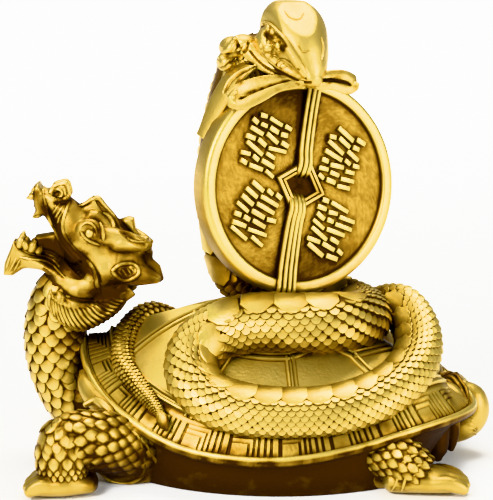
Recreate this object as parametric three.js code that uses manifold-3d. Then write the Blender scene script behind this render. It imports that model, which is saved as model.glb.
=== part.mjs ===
// Dragon turtle figure: a dragon-headed turtle with a snake coiled on its shell,
// whose raised head bites the bow of a ribbon tied round a large pierced coin.
// One brass casting, in millimetres: +Z up, head towards -X, underside at z = 0.

import * as THREE from "three";
import { mergeVertices } from "three/addons/utils/BufferGeometryUtils.js";
import Module from "manifold-3d";

// Driving sizes. The last, SINK, is how deep a form on the coin stands in its face.
const FIGURE_LENGTH = 161;
const SHELL_WIDTH = 100;
const SHELL_TOP = 53;
const RIM_THICKNESS = 3;
const COIN_DIAMETER = 70;
const COIN_THICKNESS = 9;
const COIN_RIM_WIDTH = 4;
const COIN_FIELD_DEPTH = 1.2;
const COIN_BEVEL = 0.8;
const COIN_FIELD_DRAFT = 0.6;
const COIN_TURN = 28;
const COIN_LEAN = 7;
const COIN_ROLL = 11.5;
const HOLE_SIDE = 8;
const HOLE_FRAME_WIDTH = 2.6;
const HOLE_FRAME_HEIGHT = 1.4;
const HOLE_DEPTH = 3;
const HOLE_TURN = 34;
const STROKE_WIDTH = 1.5;
const STROKE_HEIGHT = 0.6;
const RIBBON_WIDTH = 5.2;
const RIBBON_SHIFT = 0.5;
const RIBBON_HEIGHT = 0.9;
const RIBBON_CREST = 0.4;
const SINK = 0.4;
const MARGINAL_SCUTES = 20;

// The figure's free forms are drawn at this length and keep their shares of it
const DRAWN_LENGTH = 161;
const SHARE = FIGURE_LENGTH / DRAWN_LENGTH;

// Shell: half length, centre, and how far in from the rim its border reaches
const SHELL_HALF_LENGTH = 66.6 * SHARE;
const SHELL_HALF_WIDTH = SHELL_WIDTH / 2;
const SHELL_CENTRE = 11 * SHARE;
const BORDER_SHARE = 0.86;
const SHELL_SIDES = 30;
const DOME_LIFT = 0.6 * SHARE;

const wasm = await Module();
wasm.setup();

const vector = (x, y, z) => new THREE.Vector3(x, y, z);
const drawn = (x, y, z) => vector(x, y, z).multiplyScalar(SHARE);

// Reads a smooth curve through [position, value] pairs
function readCurve(pairs, position) {
  const last = pairs.length - 1;
  const place = THREE.MathUtils.clamp(position, pairs[0][0], pairs[last][0]);
  let k = 0;
  while (k < last - 1 && place > pairs[k + 1][0]) k += 1;
  const slope = (i) => {
    const a = Math.max(i - 1, 0);
    const b = Math.min(i + 1, last);
    return (pairs[b][1] - pairs[a][1]) / (pairs[b][0] - pairs[a][0]);
  };
  const span = pairs[k + 1][0] - pairs[k][0];
  const t = (place - pairs[k][0]) / span;
  const ease = t * t * (3 - 2 * t);
  const leave = t * (1 - t) * (1 - t) * span * slope(k);
  const arrive = t * t * (1 - t) * span * slope(k + 1);
  return pairs[k][1] + (pairs[k + 1][1] - pairs[k][1]) * ease + leave - arrive;
}

// Six times the volume that the triangles enclose, negative when they face inwards
function turnedVolume(points, triangles) {
  let sum = 0;
  const cross = vector(0, 0, 0);
  for (const [a, b, c] of triangles) {
    cross.crossVectors(points[b], points[c]);
    sum += points[a].dot(cross);
  }
  return sum;
}

// Closed points and triangles to a solid whose faces point outwards
function toSolid(points, triangles) {
  const outward = turnedVolume(points, triangles) > 0;
  const flat = triangles.flatMap(([a, b, c]) => (outward ? [a, b, c] : [a, c, b]));
  const vertProperties = new Float32Array(points.flatMap((p) => p.toArray()));
  const triVerts = new Uint32Array(flat);
  return new wasm.Manifold(new wasm.Mesh({ numProp: 3, vertProperties, triVerts }));
}

// A three.js geometry to a solid
function geometrySolid(source, matrix) {
  const geometry = source.index ? source.toNonIndexed() : source.clone();
  geometry.deleteAttribute("normal");
  geometry.deleteAttribute("uv");
  geometry.applyMatrix4(matrix);
  const merged = mergeVertices(geometry, 1e-4);
  const place = merged.attributes.position;
  const points = Array.from({ length: place.count }, (_, i) => vector().fromBufferAttribute(place, i));
  const triangles = [];
  for (let i = 0; i < merged.index.count; i += 3) {
    const corners = [0, 1, 2].map((k) => merged.index.getX(i + k));
    if (new Set(corners).size === 3) triangles.push(corners);
  }
  return toSolid(points, triangles);
}

// Equal rings of points joined into a skin, closed by a fan at each end
function skin(rings) {
  const sides = rings[0].length;
  const points = rings.flat();
  const triangles = [];
  for (let r = 0; r + 1 < rings.length; r += 1) {
    for (let i = 0; i < sides; i += 1) {
      const j = (i + 1) % sides;
      const [a, b] = [r * sides + i, r * sides + j];
      triangles.push([a, b, b + sides], [a, b + sides, a + sides]);
    }
  }
  const centre = (ring) => ring.reduce((sum, p) => sum.add(p), vector(0, 0, 0)).divideScalar(sides);
  const [bottom, top] = [points.length, points.length + 1];
  points.push(centre(rings[0]), centre(rings[rings.length - 1]));
  const lastRing = (rings.length - 1) * sides;
  for (let i = 0; i < sides; i += 1) {
    const j = (i + 1) % sides;
    triangles.push([bottom, j, i], [top, lastRing + i, lastRing + j]);
  }
  return toSolid(points, triangles);
}

// An oval ring of points about a centre
function ovalRing(centre, side, up, wide, deep, sides) {
  return Array.from({ length: sides }, (_, i) => {
    const a = (2 * Math.PI * i) / sides;
    return centre.clone().addScaledVector(side, wide * Math.cos(a)).addScaledVector(up, deep * Math.sin(a));
  });
}

// No limb is thinner than this radius
const THINNEST = 0.15;

// A limb through stations [x, y, z, half width, half depth]. Its width lies along
// the axis given, its depth across that, and its ends are rounded.
function limb(stations, options = {}) {
  const { sides = 8, steps = 5, across = vector(0, 1, 0), blunt = [0.8, 0.8] } = options;
  const path = new THREE.CatmullRomCurve3(stations.map(([x, y, z]) => drawn(x, y, z)), false, "centripetal");
  const last = stations.length - 1;
  const radius = (column, u) => {
    const pairs = stations.map((s, i) => [i / last, (s[column] ?? s[3]) * SHARE]);
    return readCurve(pairs, u);
  };
  const ring = (centre, tangent, wide, deep) => {
    const side = across.clone().addScaledVector(tangent, -across.dot(tangent)).normalize();
    const up = vector().crossVectors(tangent, side);
    return ovalRing(centre, side, up, wide, deep, sides);
  };
  const rings = [];
  for (let i = 0; i <= steps; i += 1) {
    const u = i / steps;
    const [wide, deep] = [3, 4].map((column) => Math.max(radius(column, u), THINNEST));
    const tangent = path.getTangent(u);
    const centre = path.getPoint(u);
    const end = i === 0 ? -1 : 1;
    const reach = Math.min(wide, deep) * blunt[i === 0 ? 0 : 1];
    const rounded = sides < 8 ? [[0.6, 0.75]] : [[0.8, 0.6], [0.35, 0.94]];
    const cap = rounded.map(([size, out]) => {
      const tip = centre.clone().addScaledVector(tangent, end * out * reach);
      return ring(tip, tangent, wide * size, deep * size);
    });
    const body = ring(centre, tangent, wide, deep);
    const capped = reach > 0;
    if (i === 0 && capped) rings.push(...cap.toReversed());
    rings.push(body);
    if (i === steps && capped) rings.push(...cap);
  }
  return skin(rings);
}

// An egg shape from its centre and half sizes
function egg(centre, half, detail = [9, 6]) {
  const place = new THREE.Matrix4().makeScale(...drawn(...half).toArray());
  place.setPosition(drawn(...centre));
  return geometrySolid(new THREE.SphereGeometry(1, ...detail), place);
}

// A flat plate across the body: outline in x and z, from one y to another
function plate(outline, from, to) {
  const shape = new THREE.Shape(outline.map(([x, z]) => new THREE.Vector2(x * SHARE, z * SHARE)));
  const geometry = new THREE.ExtrudeGeometry(shape, { depth: (to - from) * SHARE, bevelEnabled: false });
  const stand = new THREE.Matrix4().makeRotationX(Math.PI / 2);
  stand.setPosition(0, to * SHARE, 0);
  return geometrySolid(geometry, stand);
}

const union = (solids) => wasm.Manifold.union(solids);

// Solids made for the near side (-y) and repeated on the far one
const bothSides = (make) => [-1, 1].flatMap((side) => make(side));

// Shell and belly. Angle 0 is the front, over the dragon's neck, 180 the tail.

const rimHeights = [[0, 41], [12, 34.6], [24, 29], [37, 23.7], [60, 15.5], [78, 13.3], [93, 13.6], [110, 16.2],
  [124, 18.8], [138, 20.3], [152, 20.8], [168, 21.2], [180, 24]];
const borderRises = [[0, 0.8], [30, 4.5], [70, 7.2], [110, 7], [150, 7.8], [168, 4], [180, 0.5]];
const domePowers = [[0, 2], [60, 1.5], [120, 1.45], [180, 1.6]];

const foldAngle = (angle) => Math.abs(((angle + 180) % 360 + 360) % 360 - 180);
const rimHeight = (angle) => readCurve(rimHeights, foldAngle(angle)) * SHARE;
const borderHeight = (angle) => rimHeight(angle) + readCurve(borderRises, foldAngle(angle)) * SHARE;

function shellPlan(angle, share) {
  const a = THREE.MathUtils.degToRad(angle);
  const rear = readCurve([[0, 1], [120, 1], [160, 1.02], [180, 0.93]], foldAngle(angle));
  const x = SHELL_CENTRE - SHELL_HALF_LENGTH * rear * share * Math.cos(a);
  return vector(x, -SHELL_HALF_WIDTH * share * Math.sin(a), 0);
}

// A point on the dome: share 0 at its top, 1 at the inner edge of the border
function domePoint(angle, share, lift = 0) {
  const fall = (SHELL_TOP - borderHeight(angle)) * share ** readCurve(domePowers, foldAngle(angle));
  return shellPlan(angle, BORDER_SHARE * share).setZ(SHELL_TOP - fall + lift);
}

// A point on the border: share 0 at the rim's lip, 1 at the border's inner edge
function borderPoint(angle, share, lift = 0) {
  const out = 0.965 - (0.965 - BORDER_SHARE) * share;
  const z = THREE.MathUtils.lerp(rimHeight(angle) + 0.2, borderHeight(angle), share);
  return shellPlan(angle, out).setZ(z + lift);
}

function shellAndBelly() {
  const around = (point) => (
    Array.from({ length: SHELL_SIDES }, (_, i) => point((360 * i) / SHELL_SIDES))
  );
  const ringAt = (share, height) => around((angle) => shellPlan(angle, share).setZ(height(angle)));
  const under = (angle) => rimHeight(angle) - RIM_THICKNESS;
  // The belly ends short of the rim, and further in behind the rear legs
  const belly = (angle) => readCurve([[0, 0.885], [118, 0.885], [150, 0.79], [180, 0.72]], foldAngle(angle));
  const rings = [
    around((angle) => shellPlan(angle, belly(angle)).setZ(0)),
    around((angle) => shellPlan(angle, belly(angle) + 0.025).setZ(0.3 * under(angle))),
    ringAt(0.92, (angle) => under(angle)),
    ringAt(0.985, (angle) => under(angle) + 0.3 * RIM_THICKNESS),
    ringAt(1, (angle) => rimHeight(angle) - 0.2 * RIM_THICKNESS),
    ringAt(0.98, (angle) => rimHeight(angle) + 0.3 * RIM_THICKNESS),
    ringAt(0.96, (angle) => rimHeight(angle) + 0.05 * RIM_THICKNESS),
    ringAt(BORDER_SHARE, borderHeight),
  ];
  for (const share of [0.965, 0.75, 0.5, 0.24]) {
    rings.push(around((angle) => domePoint(angle, share, DOME_LIFT)));
  }
  return skin(rings);
}

// A ridge of three sides on the shell between two of its points
function strip(pointAt, from, to, halfWidth, height, steps = 1) {
  const rings = [];
  for (let i = 0; i <= steps; i += 1) {
    const spot = [0, 1].map((k) => THREE.MathUtils.lerp(from[k], to[k], i / steps));
    const here = pointAt(...spot);
    const ahead = pointAt(...spot.map((value, k) => value + (to[k] - from[k]) * 0.02));
    const side = vector().crossVectors(ahead.sub(here), vector(0, 0, 1)).setLength(2 * halfWidth);
    const foot = (sign) => here.clone().addScaledVector(side, sign).add(vector(0, 0, -height));
    rings.push([foot(1), foot(-1), here.clone().add(vector(0, 0, height))]);
  }
  return skin(rings);
}

// The dome's scutes: a zigzag ridge down each side of its spine, spokes down to
// the border and short bars across the spine
function scuteRidges() {
  const ridgeHalfWidth = 0.9 * SHARE;
  const ridgeHeight = 1.5 * SHARE;
  const solids = [];
  const knots = [[13, 0.7], [34, 0.5], [60, 0.56], [95, 0.56], [119, 0.5], [128, 0.65], [152, 0.68]];
  const spokes = [[26, 1], [59, 1], [95, 1], [129, 1]];
  const starts = [1, 2, 3, 5];
  for (const side of [1, -1]) {
    const place = ([angle, share]) => [angle * side, share];
    for (let k = 0; k + 1 < knots.length; k += 1) {
      solids.push(strip(domePoint, place(knots[k]), place(knots[k + 1]), ridgeHalfWidth, ridgeHeight));
    }
    spokes.forEach((foot, k) => {
      solids.push(strip(domePoint, place(knots[starts[k]]), place(foot), ridgeHalfWidth, ridgeHeight));
    });
  }
  return solids;
}

// The border's scutes are parted by short ridges
function borderRidges() {
  const pitch = 360 / MARGINAL_SCUTES;
  const [halfWidth, height] = [0.9 * SHARE, 0.8 * SHARE];
  return Array.from({ length: MARGINAL_SCUTES }, (_, k) => {
    const angle = (k + 0.5) * pitch;
    return strip(borderPoint, [angle, 0.12], [angle, 0.94], halfWidth, height);
  });
}

// Legs. A leg is made for the near side, and side 1 mirrors it to the far one.

function toes(side, heel, tips, row, reach) {
  const y = (value) => value * -side;
  return tips.map((x, k) => {
    const spread = row[0] + row[1] * k;
    return limb([[heel, y(spread), 4.4, 2.6], [x, y(spread), 3.6, 2.2], [x + reach, y(spread), 0.9, 0.7]],
      { sides: 5, steps: 2, blunt: [0, 0.6] });
  });
}

function frontLeg(side) {
  const y = (value) => value * -side;
  return [
    limb([[-30, y(-28), 18, 10, 10], [-43, y(-35), 18.5, 9, 9.4], [-55.6, y(-40), 18.6, 8.6, 9],
      [-55.2, y(-42), 10.5, 7.6, 9], [-56, y(-42), 4, 7, 8]], { steps: 6, blunt: [0, 0] }),
    egg([-33, y(-31), 9], [17, 10, 13], [7, 4]),
    limb([[-49, y(-41.5), 3.4, 5.5, 3], [-57, y(-42), 4.2, 8, 4.2], [-65, y(-42), 3.2, 7.6, 3]],
      { sides: 6, steps: 2, blunt: [0, 0.7] }),
    ...toes(side, -60, [-65.6, -68, -66.4], [-36.4, -5.2], -3.8),
  ];
}

function rearLeg(side) {
  const y = (value) => value * -side;
  return [
    limb([[34, y(-28), 14, 8, 9], [43, y(-35), 12.5, 8, 8.5], [50, y(-39), 9.6, 8, 8.6],
      [55, y(-40), 6, 8, 6]], { steps: 3, blunt: [0, 0] }),
    egg([42, y(-32), 6], [14, 9, 9], [6, 4]),
    limb([[42, y(-38), 5, 7, 5.4], [54, y(-39), 5, 8.4, 5], [62, y(-39), 3.6, 8, 3.4]],
      { sides: 6, steps: 2, blunt: [0, 0.7] }),
    ...toes(side, 57, [65, 67.8, 65.6], [-33, -6], 4),
  ];
}

// Tail curled up against the shell, the locks that hang beside it, and the
// upturned folds over it
function turtleTail() {
  const locks = [-13, -8, 8, 13].map((y) => {
    const drop = Math.abs(y) < 10 ? 3.5 : 1;
    return limb([[60, y, 13, 3], [66, y, 9, 2.6], [66.5 - drop, y, drop, 0.6]],
      { sides: 4, steps: 2, blunt: [0, 0.6] });
  });
  const folds = [[0, 26.4, 3.2], [-5, 24.4, 2.8], [5, 24.4, 2.8]].map(([y, top, r]) => (
    limb([[58, y * 0.7, 22, r], [66, y, 22.5, r], [69.5, y, top, 0.7]],
      { sides: 5, steps: 3, blunt: [0, 0.6] })
  ));
  return [
    limb([[58, 0, 11, 6], [70, 0, 10, 6.6], [75, 0, 13, 6.2], [75.6, 0, 18.5, 5], [72, 0, 22.6, 2.8]],
      { steps: 5, blunt: [0, 0.8] }),
    ...locks,
    ...folds,
  ];
}

// Neck and dragon head

function dragonNeck() {
  return limb([[-38, 0, 14, 12, 11], [-54, 0, 18, 11, 11.5], [-61.4, 0, 28, 10, 10.2],
    [-63.6, 0, 42, 9.4, 10], [-60.5, 0, 54, 9, 9.6], [-54, 0, 62, 8.5, 8.5]],
  { sides: 9, steps: 6, blunt: [0, 0] });
}

const crestOutline = [
  [-59, 80], [-56, 84], [-54, 84.3], [-50.3, 87.8], [-47.5, 84.5], [-44.2, 81.3], [-41.6, 79.8], [-37, 80.6],
  [-36.7, 76.6], [-32.5, 74.2], [-31.8, 70.8], [-30.9, 66.8], [-27.3, 59.3], [-31, 58.3], [-36.3, 57.3],
  [-44, 58], [-52, 64],
];
const sideCrestOutline = [
  [-56, 79], [-50, 82.5], [-46.5, 79.5], [-42, 77.5], [-39.5, 72], [-35, 70], [-34.5, 64], [-31.5, 60.5],
  [-38, 59.5], [-48, 62],
];

function dragonSkull() {
  return [
    limb([[-44, 0, 64, 8, 8], [-50, 0, 69.5, 9.5, 10], [-55.5, 0, 76, 8.2, 7.6], [-60.5, 0, 83, 6.2, 5.6],
      [-65.5, 0, 87.6, 5.6, 4], [-69, 0, 88.8, 4.2, 2]], { steps: 6, blunt: [0, 0.8] }),
    egg([-47.5, 0, 64], [9.5, 9.6, 8.5]),
    plate(crestOutline, -2.6, 2.6),
    plate(sideCrestOutline, -6, 6),
  ];
}

function dragonJaw() {
  const teeth = [[-74, 73, 75.9], [-70.6, 69, 74.4]];
  return [
    limb([[-50, 0, 58, 8.5, 6.5], [-58, 0, 60, 8, 4.6], [-66, 0, 63.8, 6, 2.8], [-72, 0, 66.8, 5, 3.6],
      [-76, 0, 69.8, 4, 3]], { sides: 8, steps: 5, blunt: [0, 0.8] }),
    limb([[-73.4, 0, 68, 4.2, 3.6], [-76.6, 0, 65, 3.6, 2.8], [-79, 0, 62.6, 2.4, 1.2]],
      { sides: 6, steps: 3, blunt: [0, 0.8] }),
    limb([[-56, 0, 66, 3, 3], [-62, 0, 69, 3, 2.4], [-67.5, 0, 71.4, 2.2, 1.2]],
      { sides: 6, steps: 3, blunt: [0, 0.8] }),
    egg([-57, 0, 57.5], [8, 9, 6]),
    ...bothSides((side) => teeth.map(([x, low, high]) => (
      limb([[x, side * 2.8, low - 2, 1.2], [x, side * 2.8, low, 1.1], [x, side * 2.6, high, 0.5]],
        { sides: 4, steps: 1, blunt: [0, 0.5] })
    ))),
  ];
}

function dragonFace() {
  const fangs = [[-67.5, 83.5, -70.2, 80.8], [-70, 87.6, -72, 86]];
  return bothSides((side) => {
    const y = (value) => value * side;
    return [
      ...fangs.map(([x, z, tipX, tipZ]) => (
        limb([[x + 1.6, y(3.4), z, 1.5], [x, y(3.6), z, 1.4], [tipX, y(3.4), tipZ, 0.5]],
          { sides: 4, steps: 1, blunt: [0, 0.5] })
      )),
      egg([-60.8, y(3.6), 87.6], [3.2, 3, 3.2], [7, 4]),
      limb([[-68, y(4.6), 89.5, 1.2], [-66, y(5.4), 84.5, 1.3], [-63.4, y(6), 80, 1.3],
        [-60.6, y(6.8), 75, 1.5], [-57, y(8), 70, 1.7], [-52.6, y(9.2), 66, 1.8],
        [-49.6, y(9.6), 61, 1.7], [-48, y(9), 56, 1.2], [-47.4, y(8.6), 52.9, 0.5]],
      { across: vector(0, 0, 1), sides: 4, steps: 6 }),
      egg([-50.9, y(7.8), 75.4], [2.9, 2.4, 2.7], [7, 4]),
      limb([[-48.4, y(6), 80, 1], [-45.8, y(7.8), 77, 1.9], [-45.6, y(8.4), 73.4, 1.7],
        [-48, y(8.8), 70.4, 0.9]], { sides: 5, steps: 3 }),
      limb([[-42.5, y(6), 61, 3.4, 2.2], [-40.6, y(9.4), 61.6, 4.2, 2.6], [-39.6, y(11), 61.9, 3.8, 2.4]],
        { across: vector(1, 0, 0.2), sides: 8, steps: 2, blunt: [0, 0.3] }),
    ];
  });
}

// The beard: locks fanned round the throat from the jaw to the nape
function beard() {
  const tips = [[-62.4, 48.6], [-55.6, 43.2], [-48.4, 44.6], [-42.4, 49], [-38.6, 56]];
  return bothSides((side) => tips.map(([tipX, tipZ], k) => {
    const share = k / (tips.length - 1);
    const bulge = 5.5 + 3.6 * Math.sin(Math.PI * share);
    const [rootX, rootZ] = [THREE.MathUtils.lerp(-57, -46, share), THREE.MathUtils.lerp(58, 62, share)];
    const [middleX, middleZ] = [0.4 * rootX + 0.6 * tipX, 0.4 * rootZ + 0.6 * tipZ];
    return limb([[rootX, side * 5, rootZ, 4], [middleX, side * bulge * 1.1, middleZ, 3.6],
      [tipX, side * bulge, tipZ, 2]], { sides: 4, steps: 2, blunt: [0, 0.7] });
  }));
}

// Snake: one body from the head's nape, down behind the coin, round the shell and
// back round it to the tip of its tail: [x, y, z, radius]
const snakeBody = [
  [12, -1, 141, 8], [7.2, 1, 135.8, 6.2], [0.4, 3.2, 131.4, 8], [-2.4, 3.4, 122, 8.9], [-4.6, 2, 110, 9.6],
  [-6, 1, 97, 9.9], [-6.1, 1.4, 85, 9.7], [-5, 3, 73, 9.4], [-2.4, 7, 62, 9.4], [3.6, 13, 54.8, 9.4],
  [15, 16, 51, 9.3], [24.4, 12.4, 50.4, 9.1], [33, 5.4, 49.4, 8.9], [38, -4, 48.8, 8.9],
  [37, -13.6, 49.2, 8.9], [28.6, -20.4, 50.2, 9], [14, -22, 50.4, 9], [1.5, -21, 50, 9],
  [-9.5, -20.5, 46.6, 8.8], [-16.4, -24.5, 41.2, 8.5], [-17, -31.5, 35, 8.2],
  [-10.5, -37.5, 29.6, 8], [0.5, -40.6, 27, 7.8], [14, -41, 26.2, 7.6], [28, -39.8, 26.9, 7.6],
  [40.5, -35, 29.6, 7.6], [50.5, -27, 34.2, 7.6], [55.6, -17, 40, 7.5], [55, -8, 46, 7.4],
  [50.6, 0, 50.2, 7.2], [42.4, 8, 47, 6.9], [32, 18, 41, 6.5], [21, 24.6, 38, 6.2],
  [5, 26, 36.4, 5.8], [-11, 22.6, 36, 5.4], [-23, 16.5, 39, 5], [-32, 8, 44.8, 4.7],
  [-38, -1, 43, 4.3], [-40.2, -10, 39, 3.8], [-39.5, -18, 35, 3.4], [-35.3, -25, 30.9, 3],
  [-31.2, -30.4, 28, 2], [-28.4, -34.5, 26, 1.5], [-26, -39, 22, 0.4],
];

// The body's rings are carried along the path without twisting
function snakeTube() {
  const steps = 47;
  const sides = 8;
  const fullness = 0.5 + 0.5 / Math.cos(Math.PI / sides);
  const points = snakeBody.map(([x, y, z]) => drawn(x, y, z));
  const curve = new THREE.CatmullRomCurve3(points, false, "centripetal");
  const last = snakeBody.length - 1;
  const radii = snakeBody.map((station, i) => [i / last, station[3] * SHARE]);
  let side = vector(0, 1, 0);
  const rings = [];
  for (let i = 0; i <= steps; i += 1) {
    const u = i / steps;
    const tangent = curve.getTangent(u);
    side = side.clone().addScaledVector(tangent, -side.dot(tangent)).normalize();
    const up = vector().crossVectors(tangent, side);
    const radius = readCurve(radii, u) * fullness;
    const centre = curve.getPoint(u);
    rings.push(ovalRing(centre, side, up, radius, radius, sides));
  }
  return skin(rings);
}

// The head bends down towards the bow. Its width lies along this level axis.
const snakeHeadAcross = vector(0.905, 0.424, 0);

function snakeHead() {
  const alongHead = { across: snakeHeadAcross, sides: 5, steps: 4 };
  return [
    limb([[11, 5, 142.4, 8, 8], [13.8, -1, 142.2, 10.8, 9.2], [16, -6.6, 137.8, 10.4, 8.6],
      [18.2, -11, 133, 7.8, 6.6], [19.8, -14, 129.6, 5, 4.2], [20.4, -15.2, 128, 3, 2.8]],
    { across: snakeHeadAcross, sides: 10, steps: 6, blunt: [0, 0.8] }),
    egg([9.6, -10.5, 138], [2.2, 2, 2.2], [8, 6]),
    egg([24, -6.5, 138.4], [1.8, 2, 2.4], [8, 6]),
    limb([[6.6, -7.5, 141.5, 1], [10.8, -11.8, 140.6, 1.5], [15, -14.6, 136, 1.3], [18.6, -16.8, 130.4, 0.9]],
      alongHead),
  ];
}

// Coin. Its own frame has x across, y along the ribbon and z out of its face.
const coinCentre = [17.9, -7.6, 92.2];

function coinFrame() {
  const turn = THREE.MathUtils.degToRad(COIN_TURN);
  const lean = THREE.MathUtils.degToRad(COIN_LEAN);
  const roll = THREE.MathUtils.degToRad(-COIN_ROLL);
  const face = vector(Math.sin(turn) * Math.cos(lean), -Math.cos(turn) * Math.cos(lean), Math.sin(lean));
  const across = vector().crossVectors(vector(0, 0, 1), face).normalize();
  const up = vector().crossVectors(face, across);
  const frame = new THREE.Matrix4().makeBasis(across, up, face);
  frame.multiply(new THREE.Matrix4().makeRotationZ(roll));
  frame.setPosition(drawn(...coinCentre));
  return frame;
}

const onCoin = (geometry, place) => geometrySolid(geometry, coinFrame().multiply(place));
const moved = (x, y, z) => new THREE.Matrix4().makeTranslation(x, y, z);

// A block on the coin's face, turned about the face's normal
function coinBlock(width, height, depth, centre, turn = 0) {
  const place = moved(...centre).multiply(new THREE.Matrix4().makeRotationZ(THREE.MathUtils.degToRad(turn)));
  return onCoin(new THREE.BoxGeometry(width, height, depth), place);
}

function coinDisc() {
  const [radius, bevel, back] = [COIN_DIAMETER / 2, COIN_BEVEL, -COIN_THICKNESS];
  const field = radius - COIN_RIM_WIDTH;
  const profile = [
    [0, back], [radius - bevel, back], [radius, back + bevel], [radius, -bevel], [radius - bevel, 0],
    [field, 0], [field - COIN_FIELD_DRAFT, -COIN_FIELD_DEPTH], [0, -COIN_FIELD_DEPTH],
  ];
  const lathe = new THREE.LatheGeometry(profile.map(([r, z]) => new THREE.Vector2(r, z)), 28);
  const disc = onCoin(lathe, new THREE.Matrix4().makeRotationX(Math.PI / 2));
  const outer = HOLE_SIDE + 2 * HOLE_FRAME_WIDTH;
  const frameMiddle = -COIN_FIELD_DEPTH + (HOLE_FRAME_HEIGHT - SINK) / 2;
  const frame = coinBlock(outer, outer, HOLE_FRAME_HEIGHT + SINK, [0, 0, frameMiddle], HOLE_TURN);
  const hole = coinBlock(HOLE_SIDE, HOLE_SIDE, 2 * HOLE_DEPTH, [0, 0, 0], HOLE_TURN);
  return disc.add(frame).subtract(hole);
}

// Short strokes in rows, where the coin's inscription was: [x, y, length, turn]
function coinStrokes() {
  const rows = [[-2.4, 3.6, 5, 8], [3.6, 3.2, 3.4, -6], [0.4, 0, 9.6, 4], [0, -3.6, 8, -3]];
  const places = [[-11.6, 14.6], [13, 13.6], [-13.6, -10], [10.6, -13.8]];
  const middle = -COIN_FIELD_DEPTH + (STROKE_HEIGHT - SINK) / 2;
  return places.flatMap(([x, y], k) => rows.map(([dx, dy, length, turn]) => {
    const flip = k % 2 ? -1 : 1;
    const centre = [x + flip * dx, y + dy, middle];
    return coinBlock(length, STROKE_WIDTH, STROKE_HEIGHT + SINK, centre, flip * turn);
  }));
}

// The ribbon runs down the face into the hole and on over the lower rim, with its
// middle strand standing proud
function ribbon() {
  const rim = COIN_DIAMETER / 2 + COIN_BEVEL;
  const [upperStart, lowerStart] = [0.25 * HOLE_SIDE, -0.45 * HOLE_SIDE];
  const layer = (width, top) => {
    const depth = COIN_FIELD_DEPTH + SINK + top;
    const middle = top - depth / 2;
    const run = (x, from, to) => coinBlock(width, Math.abs(to - from), depth, [x, (from + to) / 2, middle]);
    return [run(0, upperStart, rim), run(-RIBBON_SHIFT, lowerStart, -rim)];
  };
  return [...layer(RIBBON_WIDTH, RIBBON_HEIGHT), ...layer(RIBBON_WIDTH / 3, RIBBON_HEIGHT + RIBBON_CREST)];
}

// The bow in the snake's mouth: a loop to each side and a tail over the neck
function bow() {
  const band = { across: vector(0, 0.35, 0.94), sides: 4, steps: 7 };
  const left = [[18, -15, 126.4, 2, 1.2], [9, -15.6, 127.6, 2, 1], [0, -16, 125, 2.4, 1],
    [-5, -16, 121.6, 2.2, 1.1], [-3.4, -17, 119.6, 1.6, 1.2], [1, -17.4, 121, 2, 0.9],
    [8, -16.6, 124, 2, 1], [17, -15.4, 126, 1.8, 1.2]];
  const right = [[20, -15, 127, 2, 1.2], [27, -13, 129, 1.4, 1], [33, -10.6, 128.4, 1.6, 1],
    [35, -9.4, 125.4, 2, 1], [31, -11, 124.4, 1.8, 0.9], [21, -15, 126, 1.8, 1.2]];
  const tail = [[18, -14.6, 127.4, 1.6, 1.2], [11, -12.6, 130.4, 1.4, 1], [5, -9, 133.6, 1.6, 1],
    [2, -4, 136.6, 2, 1.2]];
  return [
    limb(left, { ...band, steps: 9 }),
    limb(right, band),
    limb(tail, { ...band, steps: 4 }),
    egg([18.8, -14.4, 127.3], [4, 2.8, 2.4]),
  ];
}

// The whole casting, cut off flat at the surface it stands on

const figure = union([
  shellAndBelly(),
  ...scuteRidges(),
  ...borderRidges(),
  ...bothSides(frontLeg),
  ...bothSides(rearLeg),
  ...turtleTail(),
  dragonNeck(),
  ...dragonSkull(),
  ...dragonJaw(),
  ...dragonFace(),
  ...beard(),
  snakeTube(),
  ...snakeHead(),
  coinDisc(),
  ...coinStrokes(),
  ...ribbon(),
  ...bow(),
]);

function cutFlatBelow(solid) {
  const size = 3 * FIGURE_LENGTH;
  const block = new THREE.BoxGeometry(size, size, size);
  return solid.subtract(geometrySolid(block, moved(0, 0, -size / 2)));
}

// Slivers shorter than this are closed up
const SMALLEST_EDGE = 0.6;

// The outer skin alone: pockets sealed between the overlapping forms are filled
function filled(solid) {
  const skins = solid.decompose();
  return skins.reduce((largest, each) => (each.volume() > largest.volume() ? each : largest));
}

function toGeometry(solid) {
  const mesh = filled(solid.simplify(SMALLEST_EDGE)).getMesh();
  const geometry = new THREE.BufferGeometry();
  geometry.setAttribute("position", new THREE.BufferAttribute(mesh.vertProperties, 3));
  geometry.setIndex(new THREE.BufferAttribute(mesh.triVerts, 1));
  return geometry;
}

const brass = new THREE.MeshStandardMaterial({ color: 0xb8902c, roughness: 0.34, metalness: 1 });

const dragonTurtle = new THREE.Mesh(toGeometry(cutFlatBelow(figure)), brass);
dragonTurtle.name = "dragon_turtle";

const group = new THREE.Group();
group.add(dragonTurtle);

export default group;
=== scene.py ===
# %% [markdown]
# # A dragon turtle in cast brass
# A turtle with a dragon's head stands on four legs. A snake lies coiled on its shell
# and holds a ribbon tied round a big pierced coin. It is one brass casting, so every
# piece below replaces the same solid. The casting is dressed area by area, because
# each area asks for another tool: tables of sizes for the shell, Geometry Nodes for
# what repeats, and a voxel remesh for the two heads.
# %% Load the frame
import math

import bpy
import numpy as np
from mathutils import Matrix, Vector
from mathutils.bvhtree import BVHTree
from mathutils.kdtree import KDTree


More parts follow.
